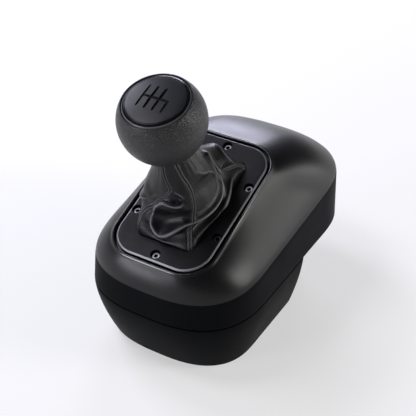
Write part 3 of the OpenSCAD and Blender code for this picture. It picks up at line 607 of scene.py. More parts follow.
# Moulded ABS from a spark-eroded tool: a satin black with a broad soft highlight and a fine dust-like grain,
# which is finer in the real part and is drawn as coarse as it needs to show.
SHELL_ABS = Finish("satin black moulded ABS", "#0c0c0e", "#101012", 0.36, Grain.SPARK, 0.6, 0.03,
                   specular=0.25, swing=0.03)
# The same plastic from a coarser tool: duller, with hardly a highlight.
BASE_ABS = Finish("dull black moulded ABS", "#0b0c0e", "#0f1012", 0.48, Grain.SPARK, 0.6, 0.03,
                  specular=0.07, ior=1.25, swing=0.04)
# Painted shade in the notches' narrow slots, where little light reaches: the base's ABS coloured flat and
# nearly black.
NOTCH_SHADE_ABS = Finish("black ABS with painted notch shade", "#040405", "#070708", 0.8, Grain.CAST, 0.6, 0.03, specular=0.05)
# The lip round the plate, glossier, with a finer grain and a shade lighter than the shell: the lighter colour
# is a painted highlight that draws a thin bright line.
LIP_HIGHLIGHT_ABS = Finish("black ABS lip with painted highlight", "#121214", "#161618", 0.24, Grain.SPARK, 0.6, 0.01, swing=0.03)
# Powder coat on aluminium: flat black with a sprayed texture.
PLATE_COAT = Finish("matte black powder coat", "#121215", "#17171a", 0.60, Grain.PEEL, 0.8, 0.04,
                    specular=0.18)
# The plate's edge, cut bright and brushed along: a pale line round the black.
EDGE_BRIGHT = Finish("polished aluminium edge", "#8e8e92", "#98989c", 0.56, Grain.BRUSHED, 0.4, 0.002,
                     metallic=1.0, swing=0.04)
# Full-grain hide: pebbles about 0.9 mm wide, smooth on top and dark between, with a grey painted highlight
# along its creases and seam welts.
BOOT_HIDE = Finish("black full-grain leather", "#0b0b0c", "#111113", 0.35, Grain.HIDE, 0.9, 0.04,
                   patch_mm=9.0, swing=0.04, specular=0.21, highlight_paint="#707074")
# Hide stretched over the ball: a close pebble with a soft sheen, drawn a little coarse so that it shows.
KNOB_HIDE = Finish("black fine-grained leather", "#121214", "#18181a", 0.38, Grain.HIDE, 1.1, 0.16,
                   patch_mm=12.0, swing=0.05, specular=0.38)
# Waxed polyester thread, darker than the hide it holds.
THREAD = Finish("waxed black polyester thread", "#0a0a0b", "#101011", 0.5, Grain.TWIST, 0.5, 0.08,
                patch_mm=3.0)
# Gloss black plastic: nearly a mirror; the bright line on its rounded rim is a painted highlight, below.
TRIM_GLOSS = Finish("gloss black moulded acrylic", "#0b0b0d", "#0f0f11", 0.24, Grain.SPARK, 2.0, 0.004,
                    ior=1.49, swing=0.03, specular=0.2)
# A painted highlight on the outer turn of that rim: the same acrylic coloured grey, so that it looks lit all
# round.
TRIM_HIGHLIGHT = Finish("black acrylic rim with painted highlight", "#5a5a5e", "#646468", 0.3, Grain.SPARK, 2.0, 0.004,
                   ior=1.49, swing=0.03)
# Satin anodised cap: dark grey with a faint silky grain.
CAP_SATIN = Finish("satin dark grey anodised cap", "#18191c", "#1e1f22", 0.38, Grain.SPARK, 0.5, 0.02,
                   swing=0.04, specular=0.21)
# A dull black on the floors and walls of the cap's engraved lines, darker than the cap.
ENGRAVED = Finish("dull black in engraved lines", "#060607", "#0a0a0b", 0.7, Grain.CAST, 0.4, 0.03, specular=0.2)
# Plain zinc-plated steel: bright, with a soft turned grain.
SCREW_ZINC = Finish("bright zinc-plated steel", "#9a9da1", "#a7aaae", 0.5, Grain.BRUSHED, 0.3, 0.01,
                    metallic=1.0)
# A dull black: painted shade inside the screws' sockets and the plate's screw wells, so that they read as
# dark holes, and black oxide on the screws below.
OXIDE_AND_HOLE_SHADE = Finish("black oxide and painted hole shade", "#070708", "#0b0b0c", 0.7, Grain.CAST, 0.4, 0.02, specular=0.15)
# Die-cast aluminium as it leaves the die: pale grey, dull and slightly pitted.
CAST_METAL = Finish("die-cast aluminium", "#8f9194", "#9b9da0", 0.5, Grain.CAST, 0.8, 0.05, metallic=1.0)
# Ground steel of pins, shaft and springs: pale, with a clear highlight.
GROUND_STEEL = Finish("ground bearing steel", "#b4b6b9", "#c0c2c4", 0.22, Grain.BRUSHED, 0.3, 0.01,
                      metallic=1.0)
# Sintered bronze: brown-gold and porous.
BRONZE = Finish("sintered bronze", "#9a6f35", "#a87b3e", 0.42, Grain.CAST, 0.5, 0.03, metallic=1.0)
# Sheet steel under black paint: dark grey with a fine orange peel.
COATED_STEEL = Finish("black coated steel sheet", "#232326", "#2a2a2d", 0.5, Grain.PEEL, 0.8, 0.03)
# Sensor bodies of moulded polyester: an even mid blue.
SENSOR_BLUE = Finish("moulded blue polyester", "#1f4d86", "#265692", 0.45, Grain.SPARK, 0.6, 0.02)
# Solder mask on the board: a deep green with a wet look.
BOARD_MASK = Finish("green solder mask", "#135a33", "#1a6a3d", 0.35, Grain.PEEL, 1.2, 0.02)
# Moulded nylon: a soft black, a little paler than the housing.
NYLON = Finish("moulded black nylon", "#1c1c1e", "#222224", 0.55, Grain.SPARK, 0.6, 0.03)
# Rubber of feet and pads: dull, dusty black.
RUBBER = Finish("moulded black rubber", "#171717", "#1d1d1d", 0.8, Grain.CAST, 0.7, 0.05)

SLOT_FINISH: dict[str, Finish] = {
    "shell_plastic": SHELL_ABS, "base_plastic": BASE_ABS, "plate_paint": PLATE_COAT,
    "boot_leather": BOOT_HIDE, "knob_leather": KNOB_HIDE, "trim_gloss": TRIM_GLOSS,
    "cap_satin": CAP_SATIN, "screw_steel": SCREW_ZINC, "frame_metal": CAST_METAL,
    "pivot_steel": GROUND_STEEL, "bronze": BRONZE, "plate_steel": COATED_STEEL,
    "sensor_plastic": SENSOR_BLUE, "board": BOARD_MASK, "dark_plastic": NYLON, "rubber": RUBBER,
}


def dress(obj: Piece, *finishes: Finish) -> None:
    """Gives a piece its finishes, the main one first."""
    obj.data.materials.clear()
    for finish in finishes:
        obj.data.materials.append(finish.material())


def hand_over(obj: Piece, body: str, slot: str, *nodes: str) -> None:
    """Makes a finished piece ride on a body in place of its CAD nodes.

    Args:
        obj: The piece.
        body: The CAD body that carries it.
        slot: The record's material slot; not used.
        nodes: The nodes that it stands for.
    """
    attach(obj, body)
    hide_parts(*nodes)
    LOG.info("%s: %d faces on %s", obj.name, len(obj.data.polygons), body)


def hand_between(obj: Piece, bodies: tuple[str, str],
                 node: str) -> None:
    """Bakes a finished piece into place and hides the CAD node it stands for; it is tied to neither body.
    """
    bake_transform(obj)
    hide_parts(node)
    LOG.info("%s: %d faces between %s and %s", obj.name, len(obj.data.polygons), *bodies)


@dataclass
class Housing:
    """The domed upper shell and the tapered base under it."""

    half_w: float = 57.5
    front_y: float = -39.5
    rear_y: float = 38.5
    front_l: float = 53.0
    rear_l: float = 54.0
    base_rear_y: float = 0.7
    base_rear_l: float = 20.0
    base_rear_r: float = 13.0
    plan_power: float = 2.7
    wall: float = 2.6
    shell_z: float = 43.4
    base_top_z: float = 42.6
    base_low_z: float = 3.0
    base_taper: Place = (8.2, 12.8)
    base_bend: float = 1.5
    crease_z: float = 67.2
    crease_tilt: float = math.radians(7.0)
    crease_inset: Spot = (0.9, 2.5, 2.2)
    crease_soft: float = 4.0
    band_gap: float = 0.4
    dome: Spot = (2.2, 1.3, 7.2)
    groove: float = 1.5
    groove_w: float = -1.0
    rim_w: float = -0.6
    lip: float = 1.3
    lip_soft: float = 1.5
    lip_top: float = 0.95
    lip_crown: float = 0.03
    # Band and reach of the lip's painted highlight.
    lip_highlight_band: Place = (-0.75, 0.2)
    lip_highlight_reach: float = 36.5
    ledge: Spot = (49.8, 83.0, 9.0)
    ledge_w: Place = (-3.4, -6.4)
    inner_draw: float = 2.5
    edge: float = 0.5
    notch: Spot = (6.0, 3.5, 6.2)
    notch_at: Place = (-7.0, -39.3)
    notch_deep: float = 1.7
    # How far the painted shade reaches round each notch slot.
    notch_shade_band: Place = (0.9, 1.0)
    rim_turn: float = 1.2
    clear_of: Place = (62.0, -95.0)
    cord_hole: tuple[Spot, Spot] = ((-12.3, 9.7, 10.7), (12.3, 24.0, 23.3))

    def plan(self, side: float, front: float, rear: float) -> np.ndarray:
        """Gives the shell's outline in plan, drawn in by three insets."""
        bend = super_corner(self.plan_power)
        return outline(self.half_w - side, self.front_y, self.rear_y, self.front_l - front,
                       self.rear_l - rear, bend, bend)

    def base_plan(self, side: float, front: float, rear: float) -> np.ndarray:
        """Gives the base's outline in plan, drawn in by three insets."""
        return outline(self.half_w - side, self.front_y, self.base_rear_y, self.front_l - front,
                       self.base_rear_l - rear, super_corner(self.plan_power),
                       round_corner(self.base_rear_r - rear))

    def crease_at(self, y: float | np.ndarray) -> float | np.ndarray:
        """Gives the crease's height, which rises to the rear."""
        return self.crease_z + (y - PLATE_Y) * math.tan(self.crease_tilt)

    def on_crease(self, points: np.ndarray) -> np.ndarray:
        """Lifts flat points to the crease."""
        return at_height(points, self.crease_at(points[:, 1]))

    def bulge(self, y: np.ndarray) -> np.ndarray:
        """Gives how far the dome stands out at each place along the part."""
        side, front, rear = self.dome
        ahead = eased(np.clip((self.front_y - y) / self.front_l, 0, 1))
        behind = eased(np.clip((y - self.rear_y) / self.rear_l, 0, 1))
        return np.where(y < self.front_y, side + (front - side) * ahead, side + (rear - side) * behind)

    def dome_ring(self, low: np.ndarray, high: np.ndarray, t: np.ndarray | float) -> np.ndarray:
        """Gives a ring of the dome.

        Args:
            low: The ring at the crease.
            high: The ring at the rim.
            t: From 0 at the crease to 1 at the rim, one for all or one for each point.

        Returns:
            The ring's points.
        """
        along = np.roll(low, -1, axis=0) - np.roll(low, 1, axis=0)
        out = np.cross(along, high - low)
        out /= np.linalg.norm(out, axis=1, keepdims=True)
        t = np.broadcast_to(t, len(low))[:, None]
        return low + (high - low) * t + out * self.bulge(low[:, 1])[:, None] * 4 * t * (1 - t)

    def build_shell(self) -> Piece:
        """Builds the upper shell as one loft round its wall.

        Returns:
            The shell.
        """
        e = self.edge
        foot = at_height(self.plan(0, 0, 0), self.shell_z)
        crease = self.on_crease(self.plan(*self.crease_inset))
        rim = on_plate(plate_outline(self.groove + self.lip), self.rim_w)
        span = np.linalg.norm(rim - crease, axis=1)
        rise = np.linalg.norm(crease - foot, axis=1)[:, None]
        up = (crease - foot) / rise
        soft_t = np.minimum(0.3, self.crease_soft / span)
        lip_t = 1 - np.minimum(0.2, self.lip_soft / span)
        rings = soft_corner(at_height(self.plan(e, e, e), self.shell_z), foot, foot + up * e, 4)
        low, high = foot + up * e, crease - up * self.crease_soft
        rings += [low + (high - low) * k / 8 for k in range(1, 8)]
        rings += soft_corner(high, crease, self.dome_ring(crease, rim, soft_t), 8)
        rings += [self.dome_ring(crease, rim, soft_t + (lip_t - soft_t) * k / 24) for k in range(1, 24)]
        top = on_plate(plate_outline(self.groove + self.lip_top), 0.0)
        brow = on_plate(plate_outline(self.groove + self.lip), self.lip_crown)
        rings += soft_corner(self.dome_ring(crease, rim, lip_t), brow, top, 6)
        wall = plate_outline(self.groove)
        rings += soft_corner(top, on_plate(wall, 0.0), on_plate(wall, self.groove_w), 8)[1:]
        ledge, (high_w, low_w) = slope_outline(*self.ledge), self.ledge_w
        rings += [on_plate(wall, high_w), on_plate(ledge, high_w), on_plate(ledge, low_w)]
        w = self.wall
        inner_rim = on_plate(plate_outline(self.groove + self.lip - self.inner_draw), low_w)
        inner_crease = self.on_crease(self.plan(*[i + w for i in self.crease_inset]))
        rings += [inner_rim] + [self.dome_ring(inner_crease, inner_rim, k / 6) for k in (5, 4, 3, 2, 1)]
        rings += [inner_crease, at_height(self.plan(w, w, w), self.shell_z)]
        shell = loft("shell_moulding", rings, loop=True)
        smooth(shell, 40)
        dress(shell, SHELL_ABS, BASE_ABS, LIP_HIGHLIGHT_ABS)
        slope = plate_matrix(0, 0, 0).inverted()
        lowest, highest = self.lip_highlight_band
        for face in shell.data.polygons:
            x, y, z = face.center / MM
            below = z < self.crease_at(y) - self.band_gap
            # The lip's rounding takes a lighter colour: a painted highlight line.
            lip = lowest < (slope @ face.center).z / MM < highest and abs(x) < self.lip_highlight_reach
            face.material_index = 1 if below else 2 * int(lip)
        return shell

    def build_base(self) -> Piece:
        """Builds the tapered base with its two notches and the socket's opening.

        Returns:
            The base.
        """
        side, front = self.base_taper
        e, w = self.edge, self.wall
        deep = self.base_top_z - self.base_low_z

        def level(t: float, inset: float) -> np.ndarray:
            """Gives the base's ring at a share of its depth."""
            q = t ** self.base_bend
            flat = self.base_plan(side * q + inset, front * q + inset, inset)
            return at_height(flat, self.base_top_z - deep * t)

        last = 1.0 - e / deep
        top = at_height(self.base_plan(e, e, e), self.base_top_z)
        rings = soft_corner(top, level(0, 0), level(e / deep, 0), 4)
        rings += [level(k / 20, 0) for k in range(1, 20)]
        rings += soft_corner(level(last, 0), level(1, 0), level(1, e), 4)
        rings += [level(1, w), level(0.5, w), level(0.2, w), level(0, w)]
        base = loft("base_moulding", rings, loop=True)
        wide, low, high = self.notch
        half, (notch_x, notch_y), (right, ahead) = wide / 2, self.notch_at, self.clear_of
        front_wall = self.front_y - self.front_l + front
        side_wall = self.half_w - side
        sunk = self.notch_deep - self.rim_turn
        cut(base, box((notch_x - half, ahead, low), (notch_x + half, front_wall + sunk, high)))
        cut(base, box((side_wall - sunk, notch_y - half, low), (right, notch_y + half, high)))
        cut(base, box(*self.cord_hole))
        smooth(base, 35)
        dress(base, BASE_ABS, NOTCH_SHADE_ABS)
        # The flat faces of the notch slots take painted shade: the same ABS coloured nearly black.
        out, into = self.notch_shade_band
        for face in base.data.polygons:
            x, y, z = face.center / MM
            held = low - 0.01 < z < high + 0.01
            in_front = abs(x - notch_x) < half + 0.01 and -out < y - front_wall < into
            beside = abs(y - notch_y) < half + 0.01 and -into < x - side_wall < out
            flat = max(abs(face.normal.x), abs(face.normal.y), abs(face.normal.z)) > 0.9999
            face.material_index = int(held and flat and (in_front or beside))
        return base

    def build(self) -> None:
        """Builds and hands over the housing's two mouldings."""
        hand_over(self.build_shell(), "housing", "shell_plastic", "upper_shell")
        hand_over(self.build_base(), "housing", "base_plastic", "lower_base")


@dataclass
class SlopePlate:
    """The sloping plate with its polished edge and its six sunk socket screws."""

    opening: Spot = (41.0, 74.0, 6.0)
    thick: float = 3.4
    edge_r: float = 1.1
    chamfer_turn: float = 0.16
    inner_edge: float = 0.4
    spots: tuple[Place, ...] = ((28.9, 20.4), (28.9, -20.4), (-28.9, 20.4), (-28.9, -20.4),
                                (0.0, 45.5), (0.0, -45.5))
    well_r: float = 3.25
    well_depth: float = 3.2
    head_r: float = 2.7
    head_w: float = -2.1
    crown: float = 0.45
    head_edge: float = 0.12
    socket_r: float = 1.45
    socket_depth: float = 0.75
    shank_r: float = 1.45
    shank_w: float = -10.0

    def build_plate(self) -> Piece:
        """Builds the plate with its opening and screw wells.

        Returns:
            The plate.
        """
        r, low, e = self.edge_r, -self.thick, self.inner_edge
        width, length, radius = self.opening
        hole = slope_outline(width, length, radius)
        rings = [on_plate(plate_outline(0.0), low), on_plate(plate_outline(0.0), -r)]
        for t in (k / 6 for k in range(1, 7)):
            soft = self.chamfer_turn * math.sin(math.pi * t)
            rings.append(on_plate(plate_outline(r * (soft - t)), r * (t + soft - 1)))
        brink = slope_outline(width + 2 * e, length + 2 * e, radius + e)
        rings += [rings[-1] + (on_plate(brink, 0.0) - rings[-1]) * k / 4 for k in range(1, 5)]
        rings += soft_corner(on_plate(brink, 0.0), on_plate(hole, 0.0), on_plate(hole, -e), 3)[1:]
        plate = loft("slope_plate", rings + [on_plate(hole, low)], loop=True)
        for x, v in self.spots:
            well = rod(48, self.well_r, self.well_depth)
            put(well, plate_matrix(x, v, 0.0))
            cut(plate, well)
        smooth(plate, 30)
        dress(plate, PLATE_COAT, EDGE_BRIGHT, OXIDE_AND_HOLE_SHADE)
        out, stand = Vector(PLATE_AXIS), plate_matrix(0, 0, 0).inverted()
        width, length, radius = PLATE_SIZE
        for face in plate.data.polygons:
            spot = stand @ face.center / MM
            aside = max(0.0, abs(spot.x) - width / 2 + radius)
            along = max(0.0, abs(spot.y) - length / 2 + radius)
            border = math.hypot(aside, along) > radius - r - 0.1
            slanted = 0.05 < face.normal.dot(out) < 0.97 and spot.z > -r
            nearest = min(math.hypot(spot.x - x, spot.y - v) for x, v in self.spots)
            # Faces inside the screw wells take painted shade, a dark colour where the hole is shaded.
            sunk = spot.z < -0.05 and nearest < self.well_r + 0.05
            face.material_index = 2 if sunk else int(slanted and border)
        return plate

    def model_screw(self) -> Piece:
        """Models one screw, with its head's top on the origin.

        Returns:
            The screw.
        """
        r, c = self.head_r, self.crown
        seat, tip = -self.well_depth - self.head_w, self.shank_w - self.head_w
        profile = [(0.0, 0.0), (r * 0.74, 0.0), (r * 0.88, -c * 0.25), (r * 0.97, -c * 0.6), (r, -c),
                   (r, seat), (self.shank_r, seat), (self.shank_r, tip), (0.0, tip)]
        screw = turned("plate_socket_screws", profile, 48, closed=False)
        cut(screw, rod(6, self.socket_r, self.socket_depth))
        modify(screw, "BEVEL", width=self.head_edge * MM, segments=2, limit_method="ANGLE",
               angle_limit=math.radians(50))
        dress(screw, SCREW_ZINC, OXIDE_AND_HOLE_SHADE)
        for face in screw.data.polygons:
            # The socket's walls and floor take painted shade, so that it reads as a dark hole.
            inside = math.hypot(face.center.x, face.center.y) < self.socket_r * MM
            face.material_index = int(inside and -(self.socket_depth + 0.2) * MM < face.center.z < -0.14 * MM)
        return screw

    def build(self) -> None:
        """Builds the plate, and the screws from one model, and hands them over."""
        hand_over(self.build_plate(), "housing", "plate_paint", "top_plate")
        first = self.model_screw()
        copies = [copy_of(first, plate_matrix(x, v, self.head_w)) for x, v in self.spots[1:]]
        x, v = self.spots[0]
        put(first, plate_matrix(x, v, self.head_w))
        screws = join([first] + copies)
        smooth(screws, 35)
        hand_over(screws, "housing", "screw_steel", "plate_screws")


@dataclass
class Knob:
    """The ball knob with its trim ring and engraved cap."""

    centre_w: float = 77.3
    radius: float = 26.0
    flat: float = 24.2
    seat: float = 13.0
    recess_r: float = 20.35
    brim_r: float = 20.95
    brim_edge: float = 0.35
    ring_foot: Place = (17.75, 19.95)
    ring_inner_h: float = 16.3
    ring_slope: tuple[Place, ...] = ((19.95, 14.75), (19.85, 15.0), (19.6, 15.25), (19.2, 15.6),
                                     (18.4, 16.2), (18.05, 16.42), (17.85, 16.45))
    # Band and radius of the painted highlight on the rim's outer turn.
    ring_highlight_band: Place = (14.6, 15.62)
    ring_highlight_r: float = 19.15
    cap_r: float = 17.6
    cap_h: float = 16.7
    cap_edge: Place = (0.1, 0.35)
    crown: float = 1.2
    floor_h: float = 16.95
    line_r: Place = (0.32, 1.3)
    line_deep: float = 1.4
    pitch: float = 5.35
    reach: float = 7.65
    diagram_r: float = 12.0

    def place(self) -> Matrix:
        """Gives the knob's own frame, its z axis along the lever."""
        return plate_matrix(0.0, LEVER_V, self.centre_w)

    def build_ball(self) -> Piece:
        """Cuts a ball flat below and hollows its top for the cap.

        Returns:
            The ball.
        """
        deselect()
        bpy.ops.mesh.primitive_uv_sphere_add(segments=128, ring_count=96, radius=self.radius * MM)
        ball = started("knob_ball")
        edit(ball)
        bpy.ops.mesh.select_all(action="SELECT")
        bpy.ops.mesh.bisect(plane_co=(0, 0, -self.flat * MM), plane_no=(0, 0, -1), use_fill=True,
                            clear_outer=True)
        bpy.ops.mesh.select_all(action="SELECT")
        brim = math.sqrt(self.radius ** 2 - self.brim_r ** 2)
        bpy.ops.mesh.bisect(plane_co=(0, 0, brim * MM), plane_no=(0, 0, 1), use_fill=True, clear_outer=True)
        bpy.ops.mesh.select_all(action="DESELECT")
        select(ball, "polygons", lambda face: face.center.z > (brim - 0.01) * MM and face.normal.z > 0.9)
        bpy.ops.mesh.inset(thickness=(self.brim_r - self.recess_r) * MM, depth=0.0)
        bpy.ops.mesh.extrude_region_move(TRANSFORM_OT_translate={"value": (0, 0, -(brim - self.seat) * MM)})
        deselect()
        weld(ball)
        modify(ball, "BEVEL", width=self.brim_edge * MM, segments=3, limit_method="ANGLE",
               angle_limit=math.radians(40))
        put(ball, self.place())
        smooth(ball, 40)
        dress(ball, KNOB_HIDE)
        return ball

    def build_ring(self) -> Piece:
        """Spins the trim ring's rounded section and paints a highlight on its outer turn.

        Returns:
            The ring.
        """
        inner, outer = self.ring_foot
        profile = [(inner, self.seat), (outer, self.seat), *self.ring_slope, (inner, self.ring_inner_h)]
        ring = turned("knob_trim_ring", profile, 160)
        put(ring, self.place())
        smooth(ring, 50)
        dress(ring, TRIM_GLOSS, TRIM_HIGHLIGHT)
        stand = self.place().inverted()
        # A painted highlight: grey on the outer turn of the rim.
        low, high = self.ring_highlight_band
        for face in ring.data.polygons:
            spot = stand @ face.center / MM
            face.material_index = int(low < spot.z < high and math.hypot(spot.x, spot.y) > self.ring_highlight_r)
        return ring

    def stroke(self, x: float, v: float, length: float, across: bool = False) -> Piece:
        """Adds a round-ended bar that cuts one line of the gate diagram.

        Args:
            x: The line's middle across the cap.
            v: The line's middle along the cap.
            length: From one end's centre to the other's.
            across: True for the line between the lanes.

        Returns:
            The bar.
        """
        deselect()
        low, high = self.line_r
        bpy.ops.mesh.primitive_cone_add(vertices=24, radius1=low * MM, radius2=high * MM,
                                        depth=self.line_deep * MM)
        bar = started("cutter")
        edit(bar, "VERT")
        select(bar, "vertices", lambda vertex: vertex.co.y > 1e-7)
        bpy.ops.transform.translate(value=(0, length * MM, 0))
        deselect()
        turn = Matrix.Rotation(math.pi / 2 if across else 0.0, 4, "Z")
        start = Matrix.Translation((0, -length / 2 * MM, 0))
        middle = Matrix.Translation((x * MM, v * MM, (self.floor_h + self.line_deep / 2) * MM))
        put(bar, middle @ turn @ start)
        return bar

    def build_cap(self) -> Piece:
        """Builds the crowned cap and cuts the gate diagram into it.

        Returns:
            The cap.
        """
        r, h, (turn, edge) = self.cap_r, self.cap_h, self.cap_edge
        crown = [(r * s, h + self.crown * (1 - s ** 2)) for s in (1 - k / 10 for k in range(1, 11))]
        profile = [(0.0, self.seat), (r, self.seat), (r, h - edge), (r - turn, h - turn), (r - edge, h),
                   *crown]
        cap = turned("knob_cap_disc", profile, 128, closed=False)
        bars = [self.stroke(k * self.pitch, 0.0, 2 * self.reach) for k in (-1.5, -0.5, 0.5)]
        bars.append(self.stroke(1.5 * self.pitch, -self.reach / 2, self.reach))
        bars.append(self.stroke(0.0, 0.0, 3 * self.pitch, across=True))
        for bar in bars:
            cut(cap, bar)
        dress(cap, CAP_SATIN, ENGRAVED)
        # The floors and walls of the engraved lines take the darker colour.
        for face in cap.data.polygons:
            x, y, z = face.center / MM
            near = math.hypot(x, y) < self.diagram_r and z > self.seat + 1.0
            face.material_index = int(near and (z < self.floor_h + 0.01 or face.normal.z < 0.97))
        put(cap, self.place())
        smooth(cap, 30)
        return cap

    def build(self) -> None:
        """Builds and hands over the knob's three pieces."""
        hand_over(self.build_ball(), "lever", "knob_leather", "knob_body")
        hand_over(self.build_ring(), "lever", "trim_gloss", "knob_ring")
        hand_over(self.build_cap(), "lever", "cap_satin", "knob_cap")


# How the boot falls at each angle round the lever: radius and height of the leather at its seven turns,
# which are its lower edge, tuck, ridge, hollow, brow, dent and upper end.
BOOT_FALL: dict[float, tuple[Place, ...]] = {
    0: ((24.2, 4.0), (19.8, 6.6), (21.6, 9.6), (20.2, 14), (18.2, 21.5), (16.6, 29), (15.3, 37.5)),
    20: ((25.0, 4.4), (20.2, 7.5), (22.0, 11.2), (20.4, 16.5), (18.6, 23), (17.0, 29.5), (15.7, 36.5)),
    45: ((28.5, 5.0), (22.0, 12.5), (22.6, 19), (20.5, 23), (19.0, 27.5), (17.2, 32.5), (13.8, 41)),
    60: ((37.0, 5.5), (26.5, 14), (23.0, 22.5), (20.6, 26), (18.8, 30), (16.9, 34.5), (13.6, 42)),
    74: ((40.8, 4.5), (36.0, 10.5), (31.0, 16), (26.5, 22), (21.8, 28.5), (18.2, 33.5), (13.8, 42)),
    88: ((41.0, 4.5), (40.0, 9.5), (38.0, 15), (32.0, 21), (25.0, 28), (19.8, 33.5), (14.0, 42)),
    106: ((40.8, 4.5), (36.0, 10.5), (31.0, 16), (26.5, 22), (21.8, 28.5), (18.2, 33.5), (13.8, 42)),
    120: ((37.0, 5.0), (27.0, 14), (23.0, 22), (20.8, 26), (19.0, 30), (17.0, 34.5), (13.7, 42)),
    150: ((24.5, 4.0), (20.5, 8.0), (22.0, 13), (21.0, 19), (20.0, 25), (17.6, 31), (13.8, 40.5)),
    185: ((23.5, 4.0), (21.4, 7.5), (22.8, 12), (22.0, 19), (20.6, 26), (17.2, 33), (13.6, 41)),
    215: ((26.8, 5.0), (26.2, 9.5), (26.0, 14), (24.6, 19.5), (22.4, 26), (18.2, 33), (13.6, 41)),
    237: ((35.0, 5.0), (32.0, 9.5), (28.0, 14.5), (24.6, 19.5), (22.0, 24.5), (18.8, 29), (13.6, 40)),
    253: ((31.5, 3.0), (28.0, 6.0), (28.0, 10.0), (23.2, 16), (22.0, 22.5), (17.8, 28.5), (13.6, 40)),
    268: ((31.2, 1.2), (28.6, 2.6), (30.8, 4.8), (24.6, 13), (22.8, 23), (18.4, 27.5), (14.2, 40)),
    288: ((32.0, 2.5), (27.4, 6.0), (27.6, 10.2), (23.4, 15.5), (23.0, 22.5), (19.0, 28.5), (14.0, 40)),
    302: ((33.5, 3.5), (28.0, 7.0), (24.6, 12.5), (22.6, 17.5), (22.5, 22.5), (20.0, 28.5), (14.3, 40)),
    315: ((28.0, 3.5), (22.8, 7.5), (22.9, 12), (22.2, 17), (21.8, 22), (20.0, 28), (14.5, 40)),
    332: ((24.5, 3.5), (20.4, 6.5), (22.2, 10.5), (20.8, 15), (18.9, 22), (17.1, 29.5), (14.8, 39)),
}


@dataclass(frozen=True)
class Fold:
    """A crease that stands along a line on the leather: angle and turn of its points."""

    line: tuple[Place, ...]
    height: float
    width: float
    # Share of the painted highlight along its crest.
    painted_highlight: float = 1.0


BOOT_FOLDS: tuple[Fold, ...] = (
    Fold(((84, 6.2), (68, 6.1), (56, 5.2), (45, 4.3), (43, 3.1), (36, 2.75), (25, 2.6), (12, 2.4)), 2.4, 2.0),
    Fold(((44, 4.2), (30, 4.0), (17, 4.1), (2, 4.2), (343, 4.2), (325, 4.1), (312, 4.0), (306, 4.0),
          (298, 4.05), (288, 4.05), (279, 4.0), (268, 4.0), (260, 4.0), (254, 4.1), (251, 4.6), (254, 5.4),
          (260, 6.0), (267, 6.4), (274, 6.6), (283, 6.55), (292, 6.5), (301, 6.6), (309, 7.0)), 2.4, 1.9),
    Fold(((56, 2.2), (44, 2.2), (29, 2.2), (12, 2.1), (358, 2.0)), 1.8, 1.6, 0.7),
    Fold(((290, 7.45), (299, 7.4), (306, 7.25), (311, 7.0)), 0.7, 1.4, 0.5),
    Fold(((350, 8.2), (10, 7.7), (24, 7.1), (34, 6.1), (42, 4.6)), 1.6, 2.6, 0.5),
    Fold(((62, 1.6), (70, 2.6), (78, 3.6), (88, 4.0), (98, 3.6), (110, 2.6), (118, 1.6)), 1.8, 1.8, 0.9),
    Fold(((236, 5.6), (226, 5.0), (212, 4.5), (195, 4.2), (180, 4.1), (165, 4.3), (150, 4.1)), 1.8, 2.0),
    Fold(((232, 2.2), (214, 2.3), (196, 2.2), (176, 2.1), (156, 2.2)), 1.4, 1.8, 0.8),
)

# Places where the leather falls in: angle, turn, depth and reach.
BOOT_DENTS: tuple[tuple[float, float, float, float], ...] = (
    (272, 5.1, 2.0, 6.0), (286, 5.2, 1.5, 5.5), (297, 7.05, 1.4, 3.4),
    (345, 7.0, 0.8, 6.0), (4, 6.6, 0.8, 6.0), (70, 4.6, 1.2, 5.5), (222, 6.6, 1.0, 6.5),
)

# Where each sewn corner seam runs: turn and angle of its points, from the hem to the neck.
BOOT_SEAMS: tuple[tuple[Place, ...], ...] = (
    ((0, 301.5), (1.3, 301.8), (2.9, 303.6), (3.5, 305.4), (4.25, 313), (5.8, 321), (6.8, 325), (7.25, 326.5),
     (7.7, 324.5), (8.2, 318.6), (9, 311)),
    ((0, 238.5), (2, 236.5), (3.6, 235), (4.8, 240), (5.9, 252), (6.9, 264), (7.35, 279), (7.55, 286),
     (7.7, 284), (8.1, 276), (9, 267)),
    ((0, 62.6), (1.1, 63), (2, 65.5), (2.7, 61), (3.1, 54), (3.5, 51)),
    ((0, 117.4), (2, 116), (3, 122), (4.5, 124), (6, 121), (9, 118)),
)


